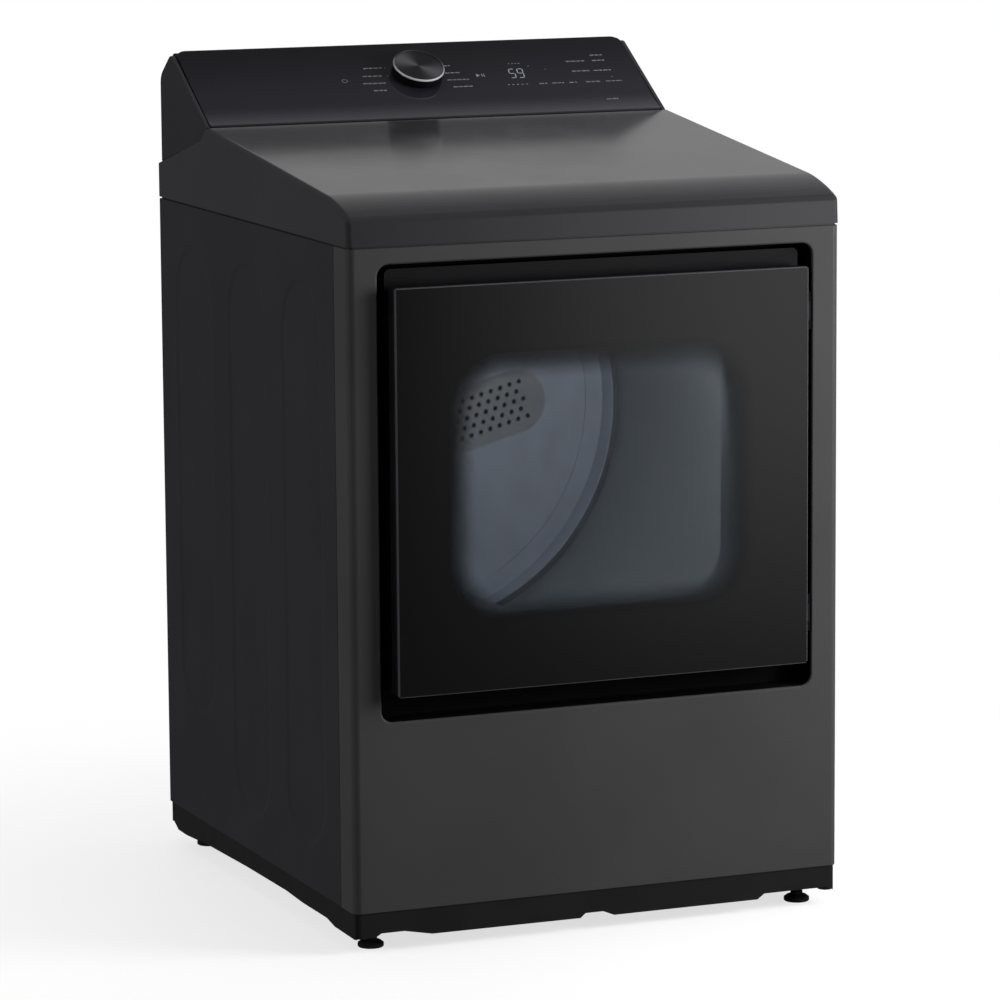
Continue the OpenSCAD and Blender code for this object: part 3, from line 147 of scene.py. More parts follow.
# %% A material and its nodes
class Recipe:
    """One material. Every node of it is made by node()."""

    def __init__(self, name):
        self.material = bpy.data.materials.new(name)
        self.material.use_nodes = True
        self.tree = self.material.node_tree
        self.tree.nodes.clear()
        self.place = self.node("TexCoord", output="Object")

    def node(self, kind, settings=None, inputs=None, output=0):
        """Makes a node, sets it, feeds its inputs and gives one of its outputs."""
        made = self.tree.nodes.new("ShaderNode" + kind)
        for name, value in (settings or {}).items():
            setattr(made, name, value)
        for name, value in (inputs or {}).items():
            if isinstance(value, Shade):
                self.tree.links.new(value.socket, made.inputs[name])
            else:
                made.inputs[name].default_value = value
        return Shade(self, made.outputs[output]) if made.outputs else None

    def noise(self, scale, detail=3.0, rough=0.5, place=None):
        return self.node("TexNoise", {}, {"Vector": place or self.place, "Scale": scale,
                                          "Detail": detail, "Roughness": rough})

    def cells(self, scale, output="Distance", place=None):
        return self.node("TexVoronoi", {}, {"Vector": place or self.place, "Scale": scale},
                         output=output)

    def stretched(self, x, y, z):
        return self.node("Mapping", {}, {"Vector": self.place, "Scale": (x, y, z)})

    def mix(self, amount, first, second):
        return self.node("Mix", {"data_type": "RGBA"}, {0: amount, 6: first, 7: second}, output=2)

    def bump(self, height, depth):
        return self.node("Bump", {}, {"Height": height, "Distance": depth, "Strength": 1.0})

    def surface(self, **inputs):
        named = {name.replace("_", " "): value for name, value in inputs.items()}
        shader = self.node("BsdfPrincipled", {}, named)
        self.node("OutputMaterial", {}, {"Surface": shader})
        return self.material


def tone(red, green, blue):
    """A screen colour, 0 to 255, as the linear colour that a shader takes."""
    parts = [value / 255 for value in (red, green, blue)]
    return tuple(v / 12.92 if v < 0.04045 else ((v + 0.055) / 1.055) ** 2.4 for v in parts) + (1.0,)


print("shade and recipe are ready")

# %% [markdown]
# ## Enamel on folded steel
# The front, sides and cover are steel sheet with a baked graphite enamel. Up close such paint is
# never flat: it has a faint orange peel a few millimetres across, a grain of tiny dark flakes, and
# wiped areas that shine a little more. The sides are duller and more textured than the front, and
# the cover is the glossiest, so one recipe takes those amounts as values.

# %% The three enamels
def enamel(name, dark, light, roughness, spread, peel, grain):
    r = Recipe(name)
    flakes = r.noise(2600, 1.0)
    clouds = r.noise(5.5, 2.0)
    mixing = flakes.fade(0.35, 0.7) * 0.6 + clouds.fade(0.3, 0.7) * 0.4
    wiped = r.noise(9.0, 4.0, place=r.stretched(1, 1, 0.35)).fade(0.35, 0.65)
    skin = r.noise(330, 1.0) * peel + flakes * grain
    return r.surface(Base_Color=r.mix(mixing, dark, light), Roughness=wiped * spread + roughness,
                     Metallic=0.0, IOR=1.5, Normal=r.bump(skin, 0.1 * MM))


# The two tones, the roughness and its spread, and the strength of the orange peel and the grain.
enamels = {
    "painted_front": (tone(59, 59, 60), tone(68, 68, 69), 0.32, 0.05, 0.16, 0.05),
    "painted_side": (tone(42, 41, 46), tone(49, 48, 53), 0.46, 0.05, 0.22, 0.12),
    "painted_top": (tone(46, 46, 49), tone(52, 52, 55), 0.13, 0.03, 0.04, 0.02),
}
finishes = {name: enamel(name, *values) for name, values in enamels.items()}
print("enamels", sorted(finishes))

# %% [markdown]
# ## Zinc, steel and wire
# Everything hidden behind the enamel is bare galvanised sheet. Its zinc freezes in flat crystals,
# the spangle, each of which mirrors a little differently: cells with a random grey show that. Steel
# pins carry fine turning lines, and the heater's wire has the brown and blue of hot metal.

# %% Galvanised sheet
def spangled_zinc():
    r = Recipe("galvanised")
    warped = r.node("VectorMath", {"operation": "ADD"}, {0: r.place, 1: r.noise(40, 2.0) * 0.01})
    crystal = r.cells(70, "Color", warped).part("X")
    dust = r.noise(260, 4.0)
    return r.surface(Base_Color=r.mix(crystal, tone(132, 140, 154), tone(148, 156, 169)),
                     Roughness=crystal * 0.08 + dust * 0.12 + 0.38, Metallic=0.6,
                     Normal=r.bump(crystal * 0.3 + dust * 0.3, 0.02 * MM))


# %% Turned steel, dark steel and hot wire
def turned_steel(name, dark, light, roughness, metallic):
    r = Recipe(name)
    lines = r.noise(900, 2.0, place=r.stretched(1, 0.04, 1))
    stain = r.noise(35, 4.0)
    return r.surface(Base_Color=r.mix(stain.fade(0.3, 0.7), dark, light),
                     Roughness=lines * 0.18 + roughness, Metallic=metallic,
                     Normal=r.bump(lines, 0.02 * MM))


def hot_wire():
    r = Recipe("coil_wire")
    heat = r.noise(28, 2.0).fade(0.3, 0.7)
    return r.surface(Base_Color=r.mix(heat, tone(92, 78, 70), tone(88, 92, 112)), Metallic=0.9,
                     Roughness=r.noise(400) * 0.25 + 0.35, Normal=r.bump(r.noise(1500), 0.02 * MM))


finishes["galvanised"] = spangled_zinc()
finishes["steel"] = turned_steel("steel", tone(150, 150, 152), tone(184, 184, 186), 0.2, 1.0)
finishes["dark_steel"] = turned_steel("dark_steel", tone(30, 31, 33), tone(46, 47, 50), 0.42, 0.5)
finishes["coil_wire"] = hot_wire()
print("metals ready", len(finishes))

# %% [markdown]
# ## Moulded plastic, rubber and felt
# Mould steel is etched, so plastic comes out with a leathery grain of a quarter millimetre: small
# cells in the bump give it. Rubber is duller and dusty. Felt is a mat of hairs, so its colour and
# its surface both come from stretched noise, and a constant sheen gives its soft edge.

# %% Plastics
def moulded(name, dark, light, roughness, grain=0.05, scale=3200, specular=0.5):
    r = Recipe(name)
    etched = r.cells(scale)
    rubbed = r.noise(24, 4.0).fade(0.35, 0.65)
    return r.surface(Base_Color=r.mix(rubbed * 0.6 + etched * 0.4, dark, light),
                     Roughness=rubbed * 0.08 + roughness, Specular_IOR_Level=specular,
                     Normal=r.bump(etched, grain * MM))


# The two tones and the roughness. Where they differ from the usual ones, the depth of the grain in
# millimetres, its cells in a metre and the strength of the mirror follow.
plastics = {
    "black_plastic": (tone(18, 18, 20), tone(26, 26, 28), 0.42),
    "grey_plastic": (tone(66, 68, 72), tone(80, 82, 86), 0.44),
    "white_plastic": (tone(206, 206, 202), tone(222, 222, 218), 0.4),
    "baffle_plastic": (tone(120, 128, 138), tone(136, 143, 152), 0.38),
    "legend_ink": (tone(118, 118, 124), tone(140, 140, 146), 0.5, 0.01),
    "gloss_black": (tone(9, 9, 11), tone(14, 14, 16), 0.1, 0.004, 700, 0.3),
    "recess_black": (tone(9, 9, 10), tone(14, 14, 15), 0.6, 0.05, 3200, 0.12),
    "carrier_black": (tone(14, 14, 16), tone(19, 19, 21), 0.34, 0.01, 700, 0.3),
    "mouth_grey": (tone(92, 98, 102), tone(104, 110, 114), 0.5, 0.02, 900),
    "bulkhead_grey": (tone(158, 167, 181), tone(172, 180, 194), 0.46, 0.02, 500),
    "grille_grey": (tone(140, 144, 147), tone(152, 156, 159), 0.5, 0.02, 900),
    "rubber_black": (tone(20, 20, 20), tone(34, 33, 32), 0.68, 0.08, 1400),
}
finishes.update((name, moulded(name, *values)) for name, values in plastics.items())
print("plastics ready", len(finishes))

# %% Felt and circuit board
def wool_felt():
    r = Recipe("felt")
    hairs = r.noise(700, 5.0, 0.7, r.stretched(1, 0.25, 1))
    clumps = r.noise(90, 3.0)
    return r.surface(Base_Color=r.mix(hairs.fade(0.3, 0.7), tone(64, 67, 72), tone(92, 96, 102)),
                     Roughness=clumps * 0.1 + 0.85, Sheen_Weight=0.4, Sheen_Roughness=0.5,
                     Normal=r.bump(hairs + clumps, 0.4 * MM))


def solder_board():
    r = Recipe("circuit_board")
    tracks = r.node("TexBrick", {"offset": 0.5}, {
        "Vector": r.place, "Scale": 90.0, "Color1": tone(28, 84, 54), "Color2": tone(24, 74, 48),
        "Mortar": tone(52, 122, 80), "Mortar Size": 0.06})
    pads = r.cells(160).fade(0.1, 0.16)
    return r.surface(Base_Color=r.mix(pads, tone(176, 170, 140), tracks), Metallic=1 - pads,
                     Roughness=pads * 0.2 + 0.3, Normal=r.bump(pads, 0.05 * MM))


finishes["felt"] = wool_felt()
finishes["circuit_board"] = solder_board()
print("soft and green finishes ready", len(finishes))

# %% [markdown]
# ## Glass and the drum
# The door is one pane of black glass. The black is enamel fired on its back in dots that thin out
# towards the window, so the window has a soft edge: the distance from a rounded rectangle, worked
# out in the finish, sets how much shows through. The ground chamfer round the pane is paler and
# duller. Behind it sits a clear moulded bowl. The drum is sheet steel with a pale powder coat.

# %% The door glass
door_low, door_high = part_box("door_glass")
window_centre = (door_low + door_high) / 2
window_half = Vector((205 * MM, 0, 168 * MM))
window_corner, window_fade = 74 * MM, 34 * MM
window_shift, pane_chamfer = 6 * MM, 1.6 * MM


def fritted_glass():
    r = Recipe("tinted_glass")
    apart = [abs(r.place.part(axis) - centre) - (half - window_corner) for axis, centre, half in
             (("X", window_centre.x - window_shift, window_half.x),
              ("Z", window_centre.z, window_half.z))]
    outside = (apart[0].most(0.0) ** 2.0 + apart[1].most(0.0) ** 2.0) ** 0.5 - window_corner
    inside = apart[0].most(apart[1]).least(0.0)
    cover = (outside + inside).fade(-window_fade, window_fade * 0.45)
    rim = [abs(r.place.part(axis) - (low + high) / 2) - (high - low) / 2 for axis, low, high in
           (("X", door_low.x, door_high.x), ("Z", door_low.z, door_high.z))]
    ground = rim[0].most(rim[1]).fade(-pane_chamfer, -1.3 * MM)
    prints = r.noise(14, 4.0).fade(0.45, 0.75)
    glass = r.mix(cover, tone(16, 19, 24), tone(9, 9, 10))
    return r.surface(Base_Color=r.mix(ground, glass, tone(70, 72, 76)), IOR=1.5,
                     Roughness=(prints * 0.03 + 0.05).most(ground * 0.35),
                     Alpha=(cover * 0.7 + 0.3).most(ground))


# %% The bowl, the console glass and the lamp
def clear_bowl():
    r = Recipe("clear_plastic")
    flow = r.noise(18, 3.0)
    return r.surface(Base_Color=r.mix(flow, tone(70, 80, 92), tone(84, 94, 106)), Alpha=0.16,
                     Roughness=flow * 0.08 + 0.05, Normal=r.bump(flow, 0.3 * MM))


def console_black():
    r = Recipe("black_glass")
    prints = r.noise(16, 4.0).fade(0.5, 0.8)
    # Painted reflection: the base colour is lighter at the foot, where the glass mirrors the cover,
    # and darkens towards the top.
    foot_z, middle, top_z = 1.022, 1.046, 1.116
    foot = r.place.part("Z").fade(foot_z, middle)
    crown = r.place.part("Z").fade(middle, top_z)
    violet_and_painted_reflection = r.mix(foot, tone(60, 59, 64), r.mix(crown, tone(36, 35, 41), tone(20, 19, 24)))
    return r.surface(Base_Color=violet_and_painted_reflection, Roughness=prints * 0.04 + 0.05, IOR=1.5)


def frosted_lens():
    r = Recipe("lamp_lens")
    prisms = r.cells(420)
    return r.surface(Base_Color=r.mix(prisms, tone(196, 202, 208), tone(230, 234, 238)),
                     Roughness=prisms * 0.3 + 0.2, Normal=r.bump(prisms, 0.3 * MM),
                     Emission_Color=r.mix(prisms, tone(190, 205, 225), tone(235, 240, 250)),
                     Emission_Strength=0.9)


def powder_coat():
    r = Recipe("drum_coating")
    peel = r.noise(420, 2.0)
    haze = r.noise(7, 3.0)
    return r.surface(Base_Color=r.mix(haze, tone(120, 128, 133), tone(134, 142, 147)),
                     Roughness=haze * 0.12 + 0.34, Normal=r.bump(peel, 0.08 * MM), Metallic=0.15)


def digit_glow():
    r = Recipe("digit_glow")
    grains = r.cells(900)
    return r.surface(Base_Color=tone(60, 62, 66), Roughness=grains * 0.2 + 0.3,
                     Emission_Color=r.mix(grains, tone(128, 132, 140), tone(156, 160, 168)),
                     Emission_Strength=1.0, Normal=r.bump(grains, 0.01 * MM))


finishes["digit_glow"] = digit_glow()
finishes["tinted_glass"] = fritted_glass()
finishes["clear_plastic"] = clear_bowl()
finishes["black_glass"] = console_black()
finishes["lamp_lens"] = frosted_lens()
finishes["drum_coating"] = powder_coat()
print("glass and drum ready", len(finishes))

# %% [markdown]
# ## Reading the frame's measures
# The console's face slopes, so pieces on it are built lying flat, with u across, v up the slope and
# the third direction out of the face. One matrix then lays them on the machine. The other values
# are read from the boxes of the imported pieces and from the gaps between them.

# %% Measures
panel_low, panel_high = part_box("front_panel")
cover_low, cover_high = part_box("top_cover")
middle_z = window_centre.z
half_w, front_y, rear_y = panel_high.x, panel_low.y, cover_high.y
cover_z = cover_low.z + 2.5 * MM
ridge_y, ridge_z = rear_y - 202 * MM, cover_z + 109.5 * MM
face_slope, seat_fall = math.radians(31.9), math.tan(math.radians(13.3))
knob_v = 103.5 * MM
face_matrix = (Matrix.Translation((0, ridge_y + 5 * MM, ridge_z + 1 * MM))
               @ Matrix.Rotation(face_slope, 4, "X"))
knob_matrix = face_matrix @ Matrix.Translation((0, knob_v, 0))
print("ridge at", round(ridge_y, 4), round(ridge_z, 4), "window middle at", round(middle_z, 4))

# %% [markdown]
# ## Helpers that shape sheet and blocks
# Most pieces start as one flat face with a few corners. Rounding a corner of it is a bevel of that
# vertex, rounding a fold is a bevel of an edge, and extruding turns the face into a block or a
# fold. `keep_piece` merges what touches, turns the faces outwards and hands the piece to its body.

# %% Flat shapes, corners and folds
def flat_shape(bm, points):
    """A face through a few corner points."""
    return bm.faces.new([bm.verts.new(point) for point in points])


def near(point, x=None, y=None, z=None):
    return all(want is None or abs(have - want) < CLOSE for have, want in zip(point, (x, y, z)))


def edges_on(bm, test):
    """The edges whose two ends both pass a test."""
    return [edge for edge in bm.edges if all(test(vert.co) for vert in edge.verts)]


def is_fold(edge, angle=1.0):
    """Whether two faces meet in this edge at more than an angle in radians."""
    return edge.is_manifold and edge.calc_face_angle(0) > angle


def round_corner(bm, point, radius, segments=8):
    """Rounds the corners of flat faces that lie at a point."""
    for vert in [v for v in bm.verts if (v.co - Vector(point)).length < CLOSE]:
        arms = [(edge.other_vert(vert).co - vert.co).normalized() for edge in vert.link_edges][:2]
        turn = math.pi - arms[0].angle(arms[1])
        bmesh.ops.bevel(bm, geom=[vert], offset=radius * math.tan(turn / 2), segments=segments,
                        profile=0.5, affect="VERTICES", material=-1)


def round_edges(bm, edges, radius, segments=4):
    bmesh.ops.bevel(bm, geom=edges, offset=radius, segments=segments, profile=0.5,
                    affect="EDGES", material=-1, clamp_overlap=True)


def pull_edges(bm, edges, move):
    """Folds sheet from some edges, and gives the new edges."""
    made = bmesh.ops.extrude_edge_only(bm, edges=edges)["geom"]
    bmesh.ops.translate(bm, verts=[g for g in made if isinstance(g, bmesh.types.BMVert)], vec=move)
    return [g for g in made if isinstance(g, bmesh.types.BMEdge)]


def pull_face(bm, face, move):
    """Turns a flat face into a block."""
    made = bmesh.ops.extrude_face_region(bm, geom=[face], use_keep_orig=True)["geom"]
    bmesh.ops.translate(bm, verts=[g for g in made if isinstance(g, bmesh.types.BMVert)], vec=move)


def mirror_over(bm):
    bmesh.ops.mirror(bm, geom=bm.verts[:] + bm.edges[:] + bm.faces[:], matrix=Matrix.Identity(4),
                     merge_dist=CLOSE, axis="X")


def face_outwards(bm, outward=None):
    """Turns all faces the same way, and the largest of them towards outward."""
    bmesh.ops.recalc_face_normals(bm, faces=bm.faces[:])
    if outward:
        towards = Vector(outward)
        largest = max(bm.faces, key=lambda face: face.calc_area() * abs(face.normal.dot(towards)))
        if largest.normal.dot(towards) < 0:
            bmesh.ops.reverse_faces(bm, faces=bm.faces[:])


# %% Handing a piece over
def new_object(name, bm, material):
    """Turns the built shape into an object of the scene."""
    mesh = bpy.data.meshes.new(name)
    bm.to_mesh(mesh)
    bm.free()
    mesh.materials.append(material)
    made = bpy.data.objects.new(name, mesh)
    scene.collection.objects.link(made)
    return made


def keep_piece(name, bm, body, finish, stands_for=(), wall=0.0, outward=None, smooth=35):
    """Makes the object, gives it its finish and lets it ride on its body."""
    bmesh.ops.remove_doubles(bm, verts=bm.verts[:], dist=CLOSE / 10)
    face_outwards(bm, outward)
    piece = new_object(name, bm, finishes[finish])
    mesh = piece.data
    mesh.polygons.foreach_set("use_smooth", [True] * len(mesh.polygons))
    mesh.set_sharp_from_angle(angle=math.radians(smooth))
    if wall:
        sheet = piece.modifiers.new("wall", "SOLIDIFY")
        sheet.thickness, sheet.offset, sheet.use_even_offset = wall, -1.0, True
    shade = piece.modifiers.new("shade", "WEIGHTED_NORMAL")
    shade.weight, shade.keep_sharp = 90, True
    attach(piece, body)
    if stands_for:
        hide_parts(*stands_for)
    print(name, len(mesh.vertices), "vertices", len(mesh.polygons), "faces")
    return piece


# %% [markdown]
# ## The front panel
# The front is one pressing: a flat face whose sides wrap 50 mm round the corner, with a deep recess
# for the door and a mouth in the recess's floor. It is easiest as half a panel. The face round half
# a hole is a single C-shaped face, so every later bevel meets plain corners, and a mirror makes the
# other half. Bevels need all faces to look the same way, so that is put right first. The recess
# gets a near-black, dull finish, so behind its soft lip it becomes a piece of its own.

# %% Half the front panel
bm = bmesh.new()
recess_depth, recess_corner, recess_lip = 38 * MM, 15 * MM, 3 * MM
recess_x, recess_floor = door_high.x + 15 * MM, front_y + recess_depth
recess_top, recess_bottom = door_high.z + 28 * MM, door_low.z - 34.5 * MM
mouth_x, mouth_h, mouth_corner = 225 * MM, 188 * MM, 72 * MM
hem_depth, wrap_depth = 12 * MM, 38 * MM
flat_shape(bm, [(0, front_y, panel_low.z), (half_w, front_y, panel_low.z),
                (half_w, front_y, panel_high.z), (0, front_y, panel_high.z),
                (0, front_y, recess_top), (recess_x, front_y, recess_top),
                (recess_x, front_y, recess_bottom), (0, front_y, recess_bottom)])
flat_shape(bm, [(0, recess_floor, recess_top), (recess_x, recess_floor, recess_top),
                (recess_x, recess_floor, recess_bottom), (0, recess_floor, recess_bottom),
                (0, recess_floor, middle_z - mouth_h), (mouth_x, recess_floor, middle_z - mouth_h),
                (mouth_x, recess_floor, middle_z + mouth_h), (0, recess_floor, middle_z + mouth_h)])
for y in (front_y, recess_floor):
    for z in (recess_top, recess_bottom):
        round_corner(bm, (recess_x, y, z), recess_corner)
for z in (middle_z - mouth_h, middle_z + mouth_h):
    round_corner(bm, (mouth_x, recess_floor, z), mouth_corner, 14)


def in_recess(co):
    return abs(co.x) < recess_x + CLOSE and recess_bottom - CLOSE < co.z < recess_top + CLOSE


def in_mouth(co):
    return co.x < mouth_x + CLOSE and abs(co.z - middle_z) < mouth_h + CLOSE


def off_middle(edges):
    """The edges that don't lie in the mirror's plane."""
    return [edge for edge in edges if not all(near(vert.co, x=0) for vert in edge.verts)]


walls = off_middle(edges_on(bm, lambda co: near(co, y=front_y) and in_recess(co)))
pull_edges(bm, walls, (0, recess_floor - front_y, 0))
neck = off_middle(edges_on(bm, lambda co: near(co, y=recess_floor) and in_mouth(co)))
pull_edges(bm, neck, (0, 8 * MM, 0))
outline = edges_on(bm, lambda co: near(co, y=front_y) and not in_recess(co))
returned = pull_edges(bm, outline, (0, hem_depth, 0))
sides = [edge for edge in returned
         if all(near(vert.co, x=half_w, y=front_y + hem_depth) for vert in edge.verts)]
pull_edges(bm, sides, (0, wrap_depth, 0))
print("half panel", len(bm.faces), "faces")

# %% Fold, mirror and round the front panel
def on_flank(co):
    return abs(abs(co.x) - half_w) < CLOSE


bmesh.ops.remove_doubles(bm, verts=bm.verts[:], dist=CLOSE / 2)
mirror_over(bm)
face_outwards(bm, (0, -1, 0))
round_edges(bm, edges_on(bm, lambda co: near(co, y=front_y) and on_flank(co)), 10 * MM, 6)
lip = edges_on(bm, lambda co: near(co, y=front_y) and in_recess(co))
round_edges(bm, lip, recess_lip, 4)
floor_fold = [edge for edge in edges_on(bm, lambda co: near(co, y=recess_floor)) if is_fold(edge)]
round_edges(bm, floor_fold, 4 * MM, 4)
folds = [edge for edge in bm.edges if is_fold(edge) and any(
    all(near(vert.co, z=end_z) for vert in edge.verts) for end_z in (panel_high.z, panel_low.z))]
round_edges(bm, folds, 1.2 * MM, 3)
surround, black_from = bm.copy(), front_y + 3.1 * MM
for sheet, black in ((bm, False), (surround, True)):
    inside = [face for face in sheet.faces if face.calc_center_median().y > black_from
              and all(in_recess(vert.co) for vert in face.verts)]
    others = list(set(sheet.faces) - set(inside))
    bmesh.ops.delete(sheet, geom=others if black else inside, context="FACES")
keep_piece("front_pressing", bm, "cabinet", "painted_front", ["front_panel"], wall=1 * MM,
           outward=(0, -1, 0))
keep_piece("door_surround", surround, "cabinet", "recess_black", ["front_panel"], wall=1 * MM,
           outward=(0, -1, 0))

# %% [markdown]
# ## The side panels
# A plain sheet this size would drum, so three long fields with round ends are pressed 1.5 mm into
# each side. The sheet is drawn as two faces that meet half way up, because a face can't have a hole
# in it. Each field is then inset five times: the first and last insets stay flat, so that only the
# narrow slope between them catches the light.

# %% One side, then its twin
def side_panel(name, side, node):
    bm = bmesh.new()
    x, seam = side * half_w, 480 * MM
    low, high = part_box(node)
    fields = [rear_y - back * MM for back in (562, 353, 137.8)]
    reach, field_corner = 75 * MM, 74.5 * MM
    field_top, bottoms = high.z - 52 * MM, [108 * MM, 102 * MM, 203 * MM]
    steps = ((1, 0), (3, -0.45), (4, -0.85), (2, -0.2), (1, 0))
    for end_z, ends in ((high.z, [field_top] * 3), (low.z, bottoms)):
        arches = [[(x, y - reach, seam), (x, y - reach, z), (x, y + reach, z), (x, y + reach, seam)]
                  for y, z in zip(fields, ends)]
        border = [(x, high.y, seam), (x, high.y, end_z), (x, low.y, end_z)]
        flat_shape(bm, [(x, low.y, seam)] + sum(arches, []) + border)
        for arch in arches:
            flat_shape(bm, arch)
    bmesh.ops.remove_doubles(bm, verts=bm.verts[:], dist=CLOSE)
    for y, bottom in zip(fields, bottoms):
        for corner_y in (y - reach, y + reach):
            round_corner(bm, (x, corner_y, field_top), field_corner, 16)
            round_corner(bm, (x, corner_y, bottom), field_corner, 16)
    bm.normal_update()
    for face in bm.faces:
        if face.normal.x * side < 0:
            face.normal_flip()
    pressed = [face for face in bm.faces
               if any(abs(face.calc_center_median().y - y) < reach * 0.5 for y in fields)
               and max(v.co.y for v in face.verts) - min(v.co.y for v in face.verts) < 2.1 * reach]
    for width, depth in steps:
        bmesh.ops.inset_region(bm, faces=pressed, thickness=width * MM, depth=depth * MM,
                               use_even_offset=True)
    rear = edges_on(bm, lambda co: near(co, x=x, y=high.y))
    pull_edges(bm, rear, (-side * 12 * MM, 0, 0))
    for end_z in (low.z, high.z):
        pull_edges(bm, edges_on(bm, lambda co: near(co, x=x, z=end_z)), (-side * 10 * MM, 0, 0))
    round_edges(bm, [edge for edge in bm.edges if is_fold(edge)], 1.5 * MM, 3)
    keep_piece(name, bm, "cabinet", "painted_side", [node], wall=0.8 * MM, outward=(side, 0, 0))


side_panel("side_sheet_right", 1, "side_panel_right")
side_panel("side_sheet_left", -1, "side_panel_left")

# %% [markdown]
# ## The top cover
# The cover is one deep pressing with a wedge profile: a short upright front, a soft slope and then
# a long gentle rise to the ridge, behind which it falls away under the console. It starts as its
# own side view, is pulled across the machine, and loses its bottom face. All edges that meet at the
# front corners are rounded in one go, because only then does the corner close like a ball.

# %% Side view of the cover
bm = bmesh.new()
seat_y, seat_z = ridge_y + 21 * MM, ridge_z - 18.5 * MM
seat_back = seat_z - (rear_y - seat_y) * seat_fall - 2 * MM
crown = (-half_w, front_y + 50 * MM, cover_z + 55.5 * MM)
brow = (-half_w, front_y + 2 * MM, cover_z + 35 * MM)
flat_shape(bm, [(-half_w, front_y, cover_z), (-half_w, rear_y, cover_z),
                (-half_w, rear_y, seat_back), (-half_w, seat_y, seat_z),
                (-half_w, ridge_y, ridge_z), crown, brow])
round_corner(bm, crown, 250 * MM, 12)
pull_face(bm, bm.faces[:][0], (2 * half_w, 0, 0))
under = [face for face in bm.faces if all(near(v.co, z=cover_z) for v in face.verts)]
bmesh.ops.delete(bm, geom=under, context="FACES_ONLY")
print("cover block", len(bm.faces), "faces")

# %% Round the cover and give it its lip
def along_front(edge):
    """Edges of a flank's outline from the fascia's foot to the ridge."""
    one, two = edge.verts
    low = near(one.co, z=cover_z) and near(two.co, z=cover_z)
    return one.co.x * two.co.x > 0 and not low and max(one.co.y, two.co.y) < ridge_y + CLOSE


flank = [edge for edge in edges_on(bm, on_flank) if along_front(edge)]
brow_edge = edges_on(bm, lambda co: near(co, y=brow[1], z=brow[2]))
round_edges(bm, flank + brow_edge, 7 * MM, 6)
ridge = edges_on(bm, lambda co: abs(co.y - ridge_y) < 0.5 * MM and co.z > ridge_z - 9 * MM)
round_edges(bm, [edge for edge in ridge if is_fold(edge, 0.5)], 3 * MM, 3)
hem = [edge for edge in edges_on(bm, lambda co: near(co, z=cover_z)) if edge.is_boundary]
ledge = pull_edges(bm, hem, (0, 0, 0))
ledge_verts = {vert for edge in ledge for vert in edge.verts}
narrower, shorter = (half_w - 3 * MM) / half_w, 0.992
bmesh.ops.scale(bm, verts=list(ledge_verts), vec=(narrower, shorter, 1),
                space=Matrix.Translation((0, -(front_y + rear_y) / 2, 0)))
pull_edges(bm, [edge for edge in ledge if edge.is_boundary], (0, 0, -8 * MM))
keep_piece("cover_pressing", bm, "cabinet", "painted_top", ["top_cover"], wall=1.2 * MM,
           outward=(0, 0, 1), smooth=30)

# %% [markdown]
# ## The console
# The console is a hollow moulding with a glass face and a painted cap at each end. The glass is a
# flat shape with round upper corners, pulled to its thickness and given a fine polished edge. Its
# face is faintly hollow: it dips by 2.4 mm and then sweeps forward to meet the cover, so its foot
# mirrors the cover and shines; its colour adds a painted reflection, lighter at the foot and darker
# towards the top. The pane is cut across at many heights so that `hollow` can bend it.

# %% Console glass
glass_half, glass_v = 333 * MM, (3 * MM, 176 * MM)
glass_t, glass_dip, sweep_v = 3 * MM, 2.4 * MM, 30 * MM


def hollow(v):
    """How far the face of the glass lies under its flat plane."""
    if v > sweep_v:
        return -glass_dip * (glass_v[1] - v) / (glass_v[1] - sweep_v)
    return -glass_dip * (1 - ((sweep_v - v) / (sweep_v - glass_v[0])) ** 2)


bm = bmesh.new()
flat_shape(bm, [(-glass_half, glass_v[0], 0), (glass_half, glass_v[0], 0),
                (glass_half, glass_v[1], 0), (-glass_half, glass_v[1], 0)])
for u in (-glass_half, glass_half):
    round_corner(bm, (u, glass_v[0], 0), 2 * MM, 3)
    round_corner(bm, (u, glass_v[1], 0), 15 * MM, 10)
pull_face(bm, bm.faces[:][0], (0, 0, -glass_t))
round_edges(bm, edges_on(bm, lambda co: near(co, z=0)), 0.5 * MM, 2)
for v in (5, 8, 11, 14, 17, 20, 23, 26, 30, 36, 60, 100, 140):
    bmesh.ops.bisect_plane(bm, geom=bm.verts[:] + bm.edges[:] + bm.faces[:], dist=CLOSE / 10,
                           plane_co=(0, v * MM, 0), plane_no=(0, 1, 0))
for vert in bm.verts:
    if vert.co.z > -0.6 * MM:
        vert.co.z += hollow(vert.co.y) * (1 + vert.co.z / MM)
bmesh.ops.transform(bm, verts=bm.verts[:], matrix=face_matrix)
keep_piece("console_pane", bm, "cabinet", "black_glass", ["console_glass"])

# %% Console end caps
def on_face(v, lift=0.0):
    """Height and depth of a place on the sloping face."""
    return face_matrix @ Vector((0, v, lift))


def seat_at(y):
    """Height of the cover's sloping seat, with a hair of room."""
    return seat_z - (y - seat_y) * seat_fall + 0.1 * MM


_, caps_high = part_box("console_caps")
bm = bmesh.new()
back_y, inner_x = rear_y - 4 * MM, glass_half + 1.5 * MM
top, foot = on_face(173 * MM, -2.5 * MM), on_face(2 * MM, -2 * MM)
side_view = [(seat_y, seat_z + 0.2 * MM), (back_y, seat_at(back_y)), (back_y, top.z - 32 * MM),
             (top.y, top.z), (foot.y, foot.z), (ridge_y + 8 * MM, ridge_z - 6.8 * MM)]
shape = [(inner_x, y, z) for y, z in side_view]
flat_shape(bm, shape)
for point, radius in zip(shape[2:5], (20, 12, 1.5)):
    round_corner(bm, point, radius * MM, 6)
pull_face(bm, bm.faces[:][0], (caps_high.x - inner_x, 0, 0))
round_edges(bm, edges_on(bm, lambda co: near(co, x=caps_high.x)), 4 * MM, 5)
bmesh.ops.mirror(bm, geom=bm.verts[:] + bm.edges[:] + bm.faces[:], matrix=Matrix.Identity(4),
                 merge_dist=0, axis="X")
keep_piece("console_cheeks", bm, "cabinet", "painted_side", ["console_caps"])

